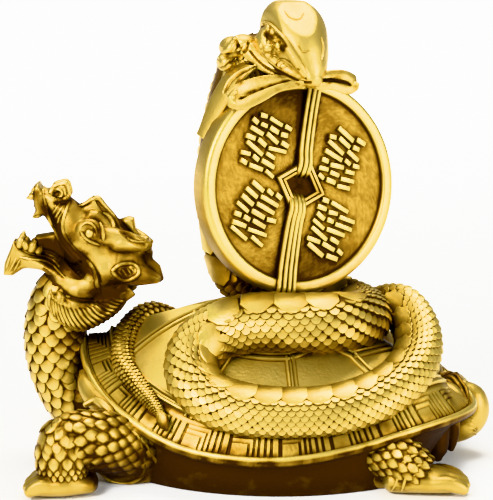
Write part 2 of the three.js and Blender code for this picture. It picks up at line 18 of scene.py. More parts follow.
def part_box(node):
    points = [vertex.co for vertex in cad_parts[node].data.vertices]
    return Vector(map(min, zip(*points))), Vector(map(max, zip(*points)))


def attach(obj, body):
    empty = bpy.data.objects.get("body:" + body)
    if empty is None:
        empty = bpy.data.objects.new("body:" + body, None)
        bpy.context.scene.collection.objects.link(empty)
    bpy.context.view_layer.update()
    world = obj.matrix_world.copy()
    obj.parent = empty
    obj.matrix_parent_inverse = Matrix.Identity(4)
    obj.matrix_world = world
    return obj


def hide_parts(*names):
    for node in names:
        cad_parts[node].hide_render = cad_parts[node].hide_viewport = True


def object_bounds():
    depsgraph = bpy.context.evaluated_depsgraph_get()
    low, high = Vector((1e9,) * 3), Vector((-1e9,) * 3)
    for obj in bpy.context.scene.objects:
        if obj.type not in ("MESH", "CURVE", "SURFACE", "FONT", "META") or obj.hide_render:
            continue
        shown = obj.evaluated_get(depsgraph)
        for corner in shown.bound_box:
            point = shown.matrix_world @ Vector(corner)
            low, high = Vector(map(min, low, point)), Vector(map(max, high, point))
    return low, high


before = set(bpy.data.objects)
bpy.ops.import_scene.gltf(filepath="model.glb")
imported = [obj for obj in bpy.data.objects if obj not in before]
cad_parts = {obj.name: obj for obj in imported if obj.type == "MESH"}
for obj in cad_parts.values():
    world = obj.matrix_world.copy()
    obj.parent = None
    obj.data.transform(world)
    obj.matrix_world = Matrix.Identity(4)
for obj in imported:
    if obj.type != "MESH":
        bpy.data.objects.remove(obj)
cad_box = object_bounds()
NODE = "dragon_turtle"
low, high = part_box(NODE)
DRAWN_LENGTH = 161.3
MM = (high.x - low.x) / DRAWN_LENGTH
print("solid", [round(v * 1000, 1) for v in (*low, *high)], "one drawn mm is", round(MM * 1000, 4), "mm")

# %% [markdown]
# ## Tables that read as smooth curves
# The figure's forms are written as short tables of stations, in millimetres. One
# function reads a smooth value between the rows of a table, and another runs a
# smooth path through points in space. Numpy works out all the points at once, which
# is much quicker than asking Blender for each.
# %% Smooth tables and paths
def table_curve(pairs, position):
    """A smooth value read from (place, value) pairs, level beyond both ends."""
    pairs = np.asarray(pairs, float)
    x, y = pairs[:, 0], pairs[:, 1]
    last = len(x) - 1
    before = np.maximum(np.arange(last + 1) - 1, 0)
    after = np.minimum(np.arange(last + 1) + 1, last)
    slope = (y[after] - y[before]) / (x[after] - x[before])
    place = np.clip(np.asarray(position, float), x[0], x[-1])
    k = np.clip(np.searchsorted(x, place, side="left") - 1, 0, last - 1)
    span = x[k + 1] - x[k]
    t = (place - x[k]) / span
    ease = t * t * (3 - 2 * t)
    leave = t * (1 - t) ** 2 * span * slope[k]
    arrive = t * t * (1 - t) * span * slope[k + 1]
    return y[k] + (y[k + 1] - y[k]) * ease + leave - arrive


def unit(vectors):
    vectors = np.asarray(vectors, float)
    return vectors / np.maximum(np.linalg.norm(vectors, axis=-1, keepdims=True), 1e-9)


def smooth_path(points, u):
    """Centripetal spline through points; u runs from 0 to 1. Returns places and directions."""
    points = np.asarray(points, float)
    count = len(points)
    place = np.clip(np.asarray(u, float), 0, 1) * (count - 1)
    k = np.minimum(place.astype(int), count - 2)
    t = (place - k)[:, None]
    padded = np.vstack([2 * points[0] - points[1], points, 2 * points[-1] - points[-2]])
    p0, p1, p2, p3 = padded[k], padded[k + 1], padded[k + 2], padded[k + 3]
    d0, d1, d2 = (np.sqrt(np.linalg.norm(b - a, axis=1, keepdims=True))
                  for a, b in ((p0, p1), (p1, p2), (p2, p3)))
    leave = ((p1 - p0) / d0 - (p2 - p0) / (d0 + d1) + (p2 - p1) / d1) * d1
    arrive = ((p2 - p1) / d1 - (p3 - p1) / (d1 + d2) + (p3 - p2) / d2) * d1
    c2 = -3 * p1 + 3 * p2 - 2 * leave - arrive
    c3 = 2 * p1 - 2 * p2 + leave + arrive
    return p1 + leave * t + c2 * t**2 + c3 * t**3, unit(leave + 2 * c2 * t + 3 * c3 * t**2)


print("path check", smooth_path([[0, 0, 0], [1, 0, 0], [2, 0, 0]], [0.25, 0.5])[0].round(3).tolist())

# %% [markdown]
# ## Shapes before they are meshes
# A form is kept as plain arrays until its piece is finished: points, triangles and a polish value for each
# point, 1 where a buffing wheel reaches and 0 in a groove that keeps its brown patina. Painted shade and
# painted highlights are later added to the same value. A loft joins rings of points and closes both ends.
# %% Lofts
def shape(points, triangles, polish_and_shade=0.6):
    """A closed form with its faces turned outwards: its volume has to come out positive."""
    points = np.asarray(points, float)
    triangles = np.asarray(triangles, int)
    a, b, c = (points[triangles[:, i]] for i in range(3))
    if np.einsum("ij,ij->", a, np.cross(b, c)) < 0:
        triangles = triangles[:, ::-1]
    return points, triangles, np.broadcast_to(np.asarray(polish_and_shade, float), len(points)).copy()


def join(shapes):
    start, points, triangles, polish_and_shade = 0, [], [], []
    for p, t, w in shapes:
        points.append(p)
        triangles.append(t + start)
        polish_and_shade.append(w)
        start += len(p)
    return np.vstack(points), np.vstack(triangles), np.concatenate(polish_and_shade)


def loft(rings, polish_and_shade=0.6):
    """Rings of equal length joined to a closed skin. polish is one value or one a ring or point."""
    rings = np.asarray(rings, float)
    count, sides = rings.shape[:2]
    weights = np.asarray(polish_and_shade, float)
    if weights.ndim == 1:
        weights = weights[:, None]
    weights = np.broadcast_to(weights, (count, sides))
    r, i = np.meshgrid(np.arange(count - 1), np.arange(sides), indexing="ij")
    j = (i + 1) % sides
    a, b = r * sides + i, r * sides + j
    quads = np.stack([a, b, b + sides, a + sides], -1).reshape(-1, 4)
    triangles = np.vstack([quads[:, [0, 1, 2]], quads[:, [0, 2, 3]]])
    ring = np.arange(sides)
    following = (ring + 1) % sides
    bottom, top, last = count * sides, count * sides + 1, (count - 1) * sides
    triangles = np.vstack([triangles, np.stack([np.full(sides, bottom), following, ring], -1),
                           np.stack([np.full(sides, top), last + ring, last + following], -1)])
    points = np.vstack([rings.reshape(-1, 3), rings[0].mean(0), rings[-1].mean(0)])
    ends = [weights[0].mean(), weights[-1].mean()]
    return shape(points, triangles, np.concatenate([weights.ravel(), ends]))


box_rings = [[(0, 0, z), (1, 0, z), (1, 1, z), (0, 1, z)] for z in (0, 1)]
print("a lofted box has", len(loft(box_rings)[1]), "triangles")

# %% [markdown]
# ## Limbs and eggs
# Necks, legs and folds are rounded bars that swell and taper along a bent path. A limb
# sets an oval ring at each step of such a path and rounds off both ends. An egg fills
# out a cheek or a thigh.
# %% Limbs and eggs
def limb_frame(stations, u, across=(0, 1, 0)):
    """Centre, direction, side, up, half width and half depth of a limb at each u."""
    rows = [list(s) + [s[3]] if len(s) == 4 else list(s) for s in stations]
    rows = np.asarray(rows, float)
    centre, ahead = smooth_path(rows[:, :3], u)
    marks = np.linspace(0, 1, len(rows))
    wide, deep = (np.maximum(table_curve(np.stack([marks, rows[:, c]], 1), u), 0.12) for c in (3, 4))
    across = np.broadcast_to(np.asarray(across, float), ahead.shape)
    side = unit(across - ahead * np.sum(across * ahead, -1, keepdims=True))
    return centre, ahead, side, np.cross(ahead, side), wide, deep


def oval(centre, side, up, wide, deep, angles):
    """One ring of points round each centre."""
    a = np.asarray(angles)[None, :, None]
    return (centre[:, None] + side[:, None] * np.cos(a) * wide[:, None, None]
            + up[:, None] * np.sin(a) * deep[:, None, None])


EGG_SIDES, EGG_RINGS = 24, 16
TIP_TURNS = (0.35, 0.7, 1.05, 1.35)


def limb(stations, sides=20, steps=16, across=(0, 1, 0), blunt=(0.8, 0.8), polish_and_shade=0.6):
    """A rounded limb through stations [x, y, z, half width, half depth]."""
    u = np.linspace(0, 1, steps + 1)
    centre, ahead, side, up, wide, deep = limb_frame(stations, u, across)
    angles = np.linspace(0, 2 * np.pi, sides, endpoint=False)
    rings = list(oval(centre, side, up, wide, deep, angles))
    for end, amount in ((0, blunt[0]), (-1, blunt[1])):
        reach = min(wide[end], deep[end]) * amount
        if reach <= 0:
            continue
        sign = -1 if end == 0 else 1
        for turn in TIP_TURNS:
            tip = centre[end] + ahead[end] * sign * reach * math.sin(turn)
            ring = oval(tip[None], side[end][None], up[end][None], wide[[end]] * math.cos(turn),
                        deep[[end]] * math.cos(turn), angles)[0]
            rings = [ring] + rings if end == 0 else rings + [ring]
    return loft(rings, polish_and_shade)


def egg(centre, half, polish_and_shade=0.6):
    """An ellipsoid with its half sizes along x, y and z."""
    lon = np.linspace(0, 2 * np.pi, EGG_SIDES, endpoint=False)
    lat = np.linspace(-np.pi / 2, np.pi / 2, EGG_RINGS)[1:-1]
    rings = [np.stack([np.cos(b) * np.cos(lon), np.cos(b) * np.sin(lon), np.full_like(lon, np.sin(b))], -1)
             for b in lat]
    return loft(np.asarray(rings) * half + centre, polish_and_shade)


def both_sides(make):
    """Forms made twice, with side -1 near the viewer and 1 far away."""
    return [s for side in (-1, 1) for s in make(side)]


print("a test limb has", len(limb([[0, 0, 0, 1], [0, 0, 5, 1]])[1]), "triangles")

# %% [markdown]
# ## The casting's shell
# The shell is a dome inside a broad border, with a rounded lip all round. Its height
# changes with the angle, so it is written as tables of height against angle: 0 looks
# along the dragon's neck and 180 along the tail. The same numbers shape the solid,
# so the dressed shell lies on it.
# %% The shell's rule
SHELL_HALF_LENGTH, SHELL_HALF_WIDTH, SHELL_CENTRE = 66.6, 50.0, 11.0
SHELL_TOP, BORDER_SHARE, BORDER_OUT = 53.0, 0.86, 0.963
RIM_HEIGHTS = [[0, 41], [12, 34.6], [24, 29], [37, 23.7], [60, 15.5], [78, 13.3], [93, 13.6], [110, 16.2],
               [124, 18.8], [138, 20.3], [152, 20.8], [168, 21.2], [180, 24]]
BORDER_RISES = [[0, 0.8], [30, 4.5], [70, 7.2], [110, 7], [150, 7.8], [168, 4], [180, 0.5]]
DOME_POWERS = [[0, 2], [60, 1.5], [120, 1.45], [180, 1.6]]
DOME_LIFT = 0.6


def fold(angle):
    """Any angle as 0 to 180, because the shell's two halves mirror each other."""
    return np.abs((np.asarray(angle, float) + 180) % 360 - 180)


def rim_height(angle):
    return table_curve(RIM_HEIGHTS, fold(angle))


def border_height(angle):
    return rim_height(angle) + table_curve(BORDER_RISES, fold(angle))


def shell_plan(angle, share, z):
    """A point of the shell's oval plan, share 1 at the lip, at height z."""
    a = np.radians(angle)
    rear = table_curve([[0, 1], [120, 1], [160, 1.02], [180, 0.93]], fold(angle))
    x = SHELL_CENTRE - SHELL_HALF_LENGTH * rear * share * np.cos(a)
    y = -SHELL_HALF_WIDTH * share * np.sin(a)
    return np.stack(np.broadcast_arrays(x, y, z), -1)


def dome_point(angle, share):
    """share 0 is the dome's top and 1 its foot; the skin lies a little over the solid."""
    angle, share = np.asarray(angle, float), np.asarray(share, float)
    fall = (SHELL_TOP - border_height(angle)) * share ** table_curve(DOME_POWERS, fold(angle))
    return shell_plan(angle, BORDER_SHARE * share, SHELL_TOP - fall + DOME_LIFT)


def border_point(angle, share, lift=0.0):
    """share 0 is at the lip, 1 at the dome's foot; the lift is straight up."""
    angle = np.asarray(angle, float)
    out = BORDER_OUT + (BORDER_SHARE - BORDER_OUT) * share
    z = rim_height(angle) + 0.2 + (border_height(angle) - rim_height(angle) - 0.2) * share
    return shell_plan(angle, out, z + lift)


print("rim at the near side", rim_height(90).round(1), "border", border_height(90).round(1))

# %% [markdown]
# ## The carved border
# Every scute of the border carries a key pattern: nested right-angle brackets round a
# block, then three bars. A displacement map would need millions of faces to keep
# these edges straight. Here the grid itself follows the pattern: its columns and rows
# stand in pairs at each edge of a groove, so every wall is sharp with few faces.
# %% Key pattern
UNITS, UNIT_LENGTH, BORDER_REACH = 24, 15.3, 8.6
GROOVE, WALL = 0.95, 0.2
LINES = [0.8, 1.5, 2.4, 3.1]
FRAME_END, FRAME_TOP, TOP_GROOVE = 8.1, 1.0, 0.45
BAR_EDGES = [8.8, 10.0, 10.8, 11.8, 12.6, 14.3]
FOOT_GROOVE = (7.95, 8.35)


def doubled(edges):
    return [e + side * WALL / 2 for e in edges for side in (-1, 1)]


frame_edges = [FRAME_END - e for e in LINES[::-1]] + [FRAME_END]
across_marks = np.array([0.0, 0.2, 2.4] + doubled(frame_edges + BAR_EDGES))
down_marks = np.array([0.0] + doubled([TOP_GROOVE, FRAME_TOP] + [FRAME_TOP + e for e in LINES]) + [6.0]
                      + doubled(FOOT_GROOVE) + [BORDER_REACH])


def key_depth(a, d):
    """How deep the pattern is cut at a mm along a unit and d mm down from the dome's foot."""
    corner = np.minimum(FRAME_END - a, d - FRAME_TOP)
    frame_cut = corner < 0
    for start, end in zip(LINES[0::2], LINES[1::2]):
        frame_cut = frame_cut | ((corner > start) & (corner < end))
    bars = np.zeros_like(frame_cut)
    for start, end in zip(BAR_EDGES[0::2], BAR_EDGES[1::2]):
        bars |= (a > start) & (a < end)
    cut = np.where(a < FRAME_END, frame_cut, ~bars) | (a < 0.1)
    cut |= (d > FOOT_GROOVE[0]) & (d < FOOT_GROOVE[1])
    return np.where(cut & (d > TOP_GROOVE) & (d < FOOT_GROOVE[1]), GROOVE, 0.0)


unit_a, unit_d = np.meshgrid(across_marks, down_marks)
unit_cut = key_depth(unit_a, unit_d)
ANGLES = ((np.arange(UNITS)[:, None] + (across_marks / UNIT_LENGTH)[None]) * (360 / UNITS)).ravel()
border_cut = np.tile(unit_cut, (1, UNITS))
print("border grid", border_cut.shape, "cut share", round(float((border_cut > 0).mean()), 2))

# %% [markdown]
# ## One skin from the belly to the dome
# The belly, the lip, the carved border and the dome are one surface on the casting, so they are one loft
# here. Its rings climb from the ground round the lip to the top, and each ring brings its own polish: dark
# on the belly and under the lip, which is painted shade, and bright on top of the lip where it is handled,
# partly as a painted highlight.
# %% The shell's skin
BELLY = [[0, 0.885], [118, 0.885], [150, 0.79], [180, 0.72]]
BELLY_SWELL, UNDER_LIP, LIP_DEPTH = 0.025, 0.895, 3.0
GROOVE_POLISH, FLAT_POLISH, FOOT_POLISH, DOME_POLISH = 0.2, 0.6, 0.2, 0.86
lip_profile = [(0.92, -3.0), (0.95, -3.0), (0.975, -2.9), (0.989, -2.4), (0.997, -1.5), (1.0, -0.5),
               (0.998, 0.2), (0.992, 0.75), (0.984, 1.0), (0.975, 0.85), (0.969, 0.4), (0.966, -0.25)]
rim_now = rim_height(ANGLES)
belly = table_curve(BELLY, fold(ANGLES))
rings, shine = [], []
# The belly rings and the underside of the lip get 0, painted shade under the rim; the top of the lip gets
# 0.95, wear together with a painted highlight.
for part in (0.0, 0.15, 0.3, 0.55, 0.8):
    share = belly + BELLY_SWELL * min(part / 0.3, 1) + (UNDER_LIP - belly) * max(part - 0.3, 0) / 0.7
    rings.append(shell_plan(ANGLES, share, part * (rim_now - LIP_DEPTH)))
    shine.append(np.full(len(ANGLES), 0.0))
for share, rise in lip_profile:
    rings.append(shell_plan(ANGLES, share, rim_now + rise))
    shine.append(np.full(len(ANGLES), 0.0 if rise < -2 else 0.95 if rise > 0 else 0.3))
for row in range(len(down_marks) - 1, -1, -1):
    share = 1 - down_marks[row] / BORDER_REACH
    cut = border_cut[row]
    rings.append(border_point(ANGLES, share, -cut))
    shine.append(np.where(cut > 0, GROOVE_POLISH, FLAT_POLISH))
for share in np.concatenate([[0.985], np.linspace(0.96, 0.06, 34)]):
    rings.append(dome_point(ANGLES, share))
    shine.append(np.full(len(ANGLES), FOOT_POLISH if share > 0.97 else DOME_POLISH))
shell_skin = loft(rings, np.array(shine))
print("shell skin", len(shell_skin[1]), "triangles")

# %% [markdown]
# ## Scutes on the dome
# The scutes are parted by double ridges with a groove between. A ridge is a path on
# the dome, so its section is swept along it: the same two little hills at each step,
# standing square to the dome. A sweep keeps the groove even on the curved surface.
# %% Double ridges
RIDGE_SECTION = [(-2.1, -0.6), (-1.8, 0.15), (-1.35, 0.75), (-0.85, 0.8), (-0.45, 0.35), (-0.25, -0.15),
                 (0.25, -0.15), (0.45, 0.35), (0.85, 0.8), (1.35, 0.75), (1.8, 0.15), (2.1, -0.6)]
RIDGE_SHINE = [0.1, 0.5, 0.95, 0.95, 0.5, 0.0, 0.0, 0.5, 0.95, 0.95, 0.5, 0.1]


def dome_normal(angle, share):
    """The dome's outward direction, from points a small step away on each side."""
    step = 0.004
    along = dome_point(angle + 100 * step, share) - dome_point(angle - 100 * step, share)
    down = dome_point(angle, share + step) - dome_point(angle, share - step)
    normal = unit(np.cross(along, down))
    return np.where(normal[..., 2:] < 0, -normal, normal)


def sweep(places, normals, section, polish_and_shade):
    """A section of (across, up) points carried along places that lie on a surface."""
    ahead = unit(np.gradient(places, axis=0))
    side = unit(np.cross(ahead, normals))
    section = np.asarray(section, float)
    rings = places[:, None] + side[:, None] * section[:, :1] + normals[:, None] * section[:, 1:]
    return loft(rings, np.broadcast_to(polish_and_shade, (len(places), len(section))))


KNOTS = [[0, 0.3], [11, 0.48], [34, 0.5], [60, 0.56], [95, 0.56], [119, 0.5], [128, 0.65], [152, 0.68]]
SPOKES = [(1, [22, 1.0]), (3, [59, 1.0]), (4, [95, 1.0]), (6, [129, 1.0])]
ridge_lines = [(KNOTS[k], KNOTS[k + 1]) for k in range(len(KNOTS) - 1)]
ridge_lines += [(KNOTS[k], foot) for k, foot in SPOKES]
FOOT_LINE = ([-2, 0.955], [182, 0.955])
ridges = []
for lines, steps in ((ridge_lines, 12), ([FOOT_LINE], 90)):
    for side in (1, -1):
        for start, end in lines:
            a, s = (np.linspace(start[k], end[k], steps) for k in (0, 1))
            places, normals = dome_point(a * side, s), dome_normal(a * side, s)
            ridges.append(sweep(places, normals, RIDGE_SECTION, RIDGE_SHINE))
print("ridges", len(ridges), "with", sum(len(r[1]) for r in ridges), "triangles")

# %% [markdown]
# ## Planting scales with Geometry Nodes
# Scales cover the snake, the dragon's neck and the legs, thousands of them. One node
# tree plants them all: it takes anchors, which are points that know the way they face
# and the way their tip points, puts a scale on each, turns it and varies its size a
# little. The tree ends in Realize Instances and Set Material, so that the export
# keeps what it made.
# %% The planting tree
def planting_tree():
    tree = bpy.data.node_groups.new("Plant scales on anchors", "GeometryNodeTree")
    tree.interface.new_socket("Anchors", in_out="INPUT", socket_type="NodeSocketGeometry")
    for name, kind, value in (("Scale shape", "NodeSocketObject", None), ("Seed", "NodeSocketInt", 3),
                              ("Size spread", "NodeSocketFloat", 0.06),
                              ("Finish", "NodeSocketMaterial", None)):
        socket = tree.interface.new_socket(name, in_out="INPUT", socket_type=kind)
        if value is not None:
            socket.default_value = value
    tree.interface.new_socket("Scales", in_out="OUTPUT", socket_type="NodeSocketGeometry")
    add, link = tree.nodes.new, tree.links.new
    given, result = add("NodeGroupInput"), add("NodeGroupOutput")

    def attribute(name):
        node = add("GeometryNodeInputNamedAttribute")
        node.data_type = "FLOAT_VECTOR"
        node.inputs["Name"].default_value = name
        return next(o for o in node.outputs if o.enabled and o.name == "Attribute")

    turn = add("FunctionNodeAxesToRotation")
    turn.primary_axis, turn.secondary_axis = "Z", "Y"
    link(attribute("facing"), turn.inputs["Primary Axis"])
    link(attribute("tip"), turn.inputs["Secondary Axis"])
    least, most = add("ShaderNodeMath"), add("ShaderNodeMath")
    least.operation, most.operation = "SUBTRACT", "ADD"
    for node in (least, most):
        node.inputs[0].default_value = 1.0
        link(given.outputs["Size spread"], node.inputs[1])
    chance = add("FunctionNodeRandomValue")
    chance.data_type = "FLOAT"
    link(least.outputs[0], next(s for s in chance.inputs if s.enabled and s.name == "Min"))
    link(most.outputs[0], next(s for s in chance.inputs if s.enabled and s.name == "Max"))
    link(given.outputs["Seed"], chance.inputs["Seed"])
    grow = add("ShaderNodeVectorMath")
    grow.operation = "SCALE"
    link(attribute("size"), grow.inputs[0])
    link(next(o for o in chance.outputs if o.enabled), grow.inputs["Scale"])
    scale_shape = add("GeometryNodeObjectInfo")
    link(given.outputs["Scale shape"], scale_shape.inputs["Object"])
    plant_node = add("GeometryNodeInstanceOnPoints")
    link(given.outputs["Anchors"], plant_node.inputs["Points"])
    link(scale_shape.outputs["Geometry"], plant_node.inputs["Instance"])
    link(turn.outputs["Rotation"], plant_node.inputs["Rotation"])
    link(grow.outputs["Vector"], plant_node.inputs["Scale"])
    realize, finish = add("GeometryNodeRealizeInstances"), add("GeometryNodeSetMaterial")
    link(plant_node.outputs["Instances"], realize.inputs["Geometry"])
    link(realize.outputs["Geometry"], finish.inputs["Geometry"])
    link(given.outputs["Finish"], finish.inputs["Material"])
    link(finish.outputs["Geometry"], result.inputs["Scales"])
    return tree


PLANTING = planting_tree()
BRASS = bpy.data.materials.new("cast_brass_with_patina_and_painted_shade")
socket_id = {s.name: s.identifier for s in PLANTING.interface.items_tree if s.in_out == "INPUT"}
print("planting inputs", sorted(socket_id))

# %% [markdown]
# ## From arrays to Blender and back
# Arrays become a mesh to pass through a modifier, such as the planting tree, and come
# back as arrays from the evaluated object. The mesh is then plain, and the modifier
# goes with its object. The polish travels along as an attribute of the points.
# %% Meshes in and out of Blender
def to_object(name, form, size=1.0):
    points, triangles, polish_and_shade = form
    mesh = bpy.data.meshes.new(name)
    mesh.vertices.add(len(points))
    mesh.vertices.foreach_set("co", (points * size).ravel().astype(np.float32))
    mesh.loops.add(triangles.size)
    mesh.loops.foreach_set("vertex_index", triangles.ravel().astype(np.int32))
    mesh.polygons.add(len(triangles))
    mesh.polygons.foreach_set("loop_start", np.arange(0, triangles.size, 3, dtype=np.int32))
    mesh.update(calc_edges=True)
    mesh.attributes.new("polish_and_shade", "FLOAT", "POINT").data.foreach_set("value", polish_and_shade.astype(np.float32))
    obj = bpy.data.objects.new(name, mesh)
    bpy.context.scene.collection.objects.link(obj)
    return obj


def from_mesh(mesh):
    """Points, triangles and polish of a mesh."""
    mesh.calc_loop_triangles()
    points = np.empty(len(mesh.vertices) * 3)
    mesh.vertices.foreach_get("co", points)
    triangles = np.empty(len(mesh.loop_triangles) * 3, int)
    mesh.loop_triangles.foreach_get("vertices", triangles)
    polish_and_shade = np.full(len(mesh.vertices), 0.6)
    if "polish_and_shade" in mesh.attributes:
        mesh.attributes["polish_and_shade"].data.foreach_get("value", polish_and_shade)
    return points.reshape(-1, 3), triangles.reshape(-1, 3), polish_and_shade


def evaluated(obj):
    """The plain arrays of an object with its modifiers applied; the object is then removed."""
    bpy.context.view_layer.update()
    ready = obj.evaluated_get(bpy.context.evaluated_depsgraph_get())
    mesh = bpy.data.meshes.new_from_object(ready)
    form = from_mesh(mesh)
    bpy.data.meshes.remove(mesh)
    base = obj.data
    bpy.data.objects.remove(obj)
    bpy.data.meshes.remove(base)
    return form


def plant(scale, anchors, spread=0.06, seed=3):
    """anchors: places, facing, tip directions and sizes, all (n, 3). Returns the realized scales."""
    places, facing, tip, sizes = (np.asarray(a, float) for a in anchors)
    seedbed = bpy.data.meshes.new("anchors")
    seedbed.vertices.add(len(places))
    seedbed.vertices.foreach_set("co", places.ravel().astype(np.float32))
    for name, values in (("facing", facing), ("tip", tip), ("size", sizes)):
        seedbed.attributes.new(name, "FLOAT_VECTOR", "POINT").data.foreach_set("vector", values.ravel())
    obj = bpy.data.objects.new("anchors", seedbed)
    bpy.context.scene.collection.objects.link(obj)
    scale_obj = to_object("scale", scale)
    modifier = obj.modifiers.new("Plant", "NODES")
    modifier.node_group = PLANTING
    modifier[socket_id["Scale shape"]] = scale_obj
    modifier[socket_id["Size spread"]] = spread
    modifier[socket_id["Seed"]] = seed
    modifier[socket_id["Finish"]] = BRASS
    form = evaluated(obj)
    mesh = scale_obj.data
    bpy.data.objects.remove(scale_obj)
    bpy.data.meshes.remove(mesh)
    return form


# %% [markdown]
# ## Scale shapes
# A scale is a small closed tile: its root is sunk in the skin, its free end stands up
# and drops off sharply, which is what throws the thin dark line under each scale on
# the casting. It has only a few dozen faces, because thousands of them are planted.
# Every outline is the same on both sides, so a table holds its right half alone.
# %% Scales, cushions and plates
ROOT_DEPTH = 0.9


def tile(right_half, centre, root_rise, tip_rise, shoulder=0.34, inset=0.88, bend=0.0):
    """A tile of unit size with its tip towards +y, from the right half of its outline."""
    (x, y), *others = right_half
    outline = np.array([(-x, y)] + right_half + [(-x, y) for x, y in others[::-1] if x > 0], float)
    root, length = outline[:, 1].min(), np.ptp(outline[:, 1])
    rings, shine = [], []
    # Shine is 0 at the foot, 0.15 on the shoulder and full on the top, and it grows from root to tip:
    # painted shade under the scale's edge and a painted shadow where the scale above covers its root.
    levels = [(1, None, 0), (1, shoulder, 0.15), (inset, 0, 1)] + ([(0.5, 0, 1)] if bend else [])
    for share, drop, painted_light in levels:
        spot = centre + (outline - centre) * share
        along = (spot[:, 1] - root) / length
        top = root_rise + (tip_rise - root_rise) * along
        height = np.full_like(top, -ROOT_DEPTH) if drop is None else top - drop
        rings.append(np.column_stack([spot, height - bend * spot[:, 0] ** 2]))
        shine.append((0.45 + 0.55 * along) * painted_light)
    return loft(rings, np.stack(shine))


ROUND_SCALE = tile([(0.48, -0.55), (0.5, 0.04), (0.27, 0.39), (0.0, 0.49)], (0, -0.05), -0.5, 1.2,
                   inset=0.86)
SHIELD = tile([(0.45, -0.6), (0.5, -0.12), (0.4, 0.18), (0.16, 0.42)], (0, -0.1), -0.6, 1.2,
              shoulder=0.4, inset=0.84)
CUSHION = tile([(0.3, -0.6), (0.5, -0.1), (0.34, 0.24), (0.0, 0.48)], (0, -0.08), 0.1, 0.75,
               shoulder=0.6, inset=0.62)
PLATE = tile([(0.22, -0.6), (0.44, -0.32), (0.5, -0.08), (0.42, 0.2), (0.22, 0.45)], (0, -0.08), 0.95, 1.15,
             shoulder=0.5, inset=0.95, bend=9.5)
print("faces of a scale", len(ROUND_SCALE[1]), "cushion", len(CUSHION[1]), "back plate", len(PLATE[1]))

# %% [markdown]
# ## The snake
# The snake is one long tube that tapers at both ends. Along its back runs a row of
# smooth lozenge plates, and rows of round scales hang down from it on each flank. So
# each station also needs the way the back faces: up and outward on the coils, to the
# side on the raised neck. The scales are laid out in that turning frame.
# %% The body's path and the way its back faces
SNAKE = np.array([[12, -1, 141, 8], [7.2, 1, 135.8, 6.2], [0.4, 3.2, 131.4, 8], [-2.4, 3.4, 122, 8.9],
                  [-4.6, 2, 110, 9.6], [-6, 1, 97, 9.9], [-6.1, 1.4, 85, 9.7], [-5, 3, 73, 9.4],
                  [-2.4, 7, 62, 9.4], [3.6, 13, 54.8, 9.4], [15, 16, 51, 9.3], [24.4, 12.4, 50.4, 9.1],
                  [33, 5.4, 49.4, 8.9], [38, -4, 48.8, 8.9], [37, -13.6, 49.2, 8.9],
                  [28.6, -20.4, 50.2, 9], [14, -22, 50.4, 9], [1.5, -21, 50, 9],
                  [-9.5, -20.5, 46.6, 8.8], [-16.4, -24.5, 41.2, 8.5], [-17, -31.5, 35, 8.2],
                  [-10.5, -37.5, 29.6, 8], [0.5, -40.6, 27, 7.8], [14, -41, 26.2, 7.6],
                  [28, -39.8, 26.9, 7.6], [40.5, -35, 29.6, 7.6], [50.5, -27, 34.2, 7.6],
                  [55.6, -17, 40, 7.5], [55, -8, 46, 7.4], [50.6, 0, 50.2, 7.2], [42.4, 8, 47, 6.9],
                  [32, 18, 41, 6.5], [21, 24.6, 38, 6.2], [5, 26, 36.4, 5.8], [-11, 22.6, 36, 5.4],
                  [-23, 16.5, 39, 5.0], [-32, 8, 44.8, 4.7], [-38, -1, 43.0, 4.3],
                  [-40.2, -10, 39.0, 3.8], [-39.5, -18, 35.0, 3.4], [-35.3, -25, 30.9, 3.0],
                  [-31.2, -30.4, 27.8, 2.5], [-28.4, -34.5, 25.8, 1.9], [-26, -38, 23, 0.8]])
BACK = np.array([[0, -0.3, 0.2, 0.9], [1, -0.6, 0.1, 0.8], [2, -0.8, -0.2, 0.5], [3, -0.9, -0.4, 0.1],
                 [6, -0.9, -0.45, 0], [7, -0.8, -0.5, 0.3], [8, -0.3, -0.6, 0.7], [9, 0, -0.5, 0.85],
                 [10, 0, -0.6, 0.8], [11, -0.4, -0.5, 0.75], [12, -0.6, -0.2, 0.75], [13, -0.7, 0, 0.7],
                 [14, -0.5, 0.1, 0.85], [15, -0.1, -0.2, 0.97], [16, 0, -0.35, 0.93],
                 [17, 0.1, -0.35, 0.9], [18, 0.5, -0.5, 0.7], [19, 0.75, -0.6, 0.3],
                 [20, 0.8, -0.4, 0.4], [21, 0.5, -0.2, 0.85], [22, 0.1, -0.35, 0.93],
                 [24, -0.1, -0.33, 0.93], [25, -0.35, -0.2, 0.9], [26, -0.6, -0.1, 0.8],
                 [27, -0.8, -0.1, 0.6], [28, -0.8, -0.2, 0.5], [29, -0.6, -0.6, 0.4],
                 [30, -0.3, -0.6, 0.7], [31, 0, -0.2, 0.97], [37, -0.1, -0.1, 1], [43, -0.2, -0.3, 0.9]])


def snake_frame(u):
    """Place, direction, back, side and radius of the body; u runs from 0 to 1."""
    place, ahead = smooth_path(SNAKE[:, :3], u)
    marks = np.linspace(0, 1, len(SNAKE))
    radius = table_curve(np.stack([marks, SNAKE[:, 3]], 1), u)
    back = np.stack([np.interp(u * (len(SNAKE) - 1), BACK[:, 0], BACK[:, k]) for k in (1, 2, 3)], -1)
    back = unit(back - ahead * np.sum(back * ahead, -1, keepdims=True))
    return place, ahead, back, np.cross(ahead, back), radius


def on_snake(u, angle):
    """Place, outward direction and downward direction at an angle from the back, in degrees."""
    place, ahead, back, side, radius = snake_frame(u)
    a = np.radians(angle)[:, None] if np.ndim(angle) else np.radians(angle)
    out = back * np.cos(a) + side * np.sin(a)
    down = -back * np.sin(a) + side * np.cos(a)
    return place + out * radius[:, None], out, down, ahead, radius


fine = np.linspace(0, 1, 4001)
fine_place, _, _, _, fine_radius = snake_frame(fine)
run = np.concatenate([[0], np.cumsum(np.linalg.norm(np.diff(fine_place, axis=0), axis=1))])
print("snake length", round(run[-1]), "mm")

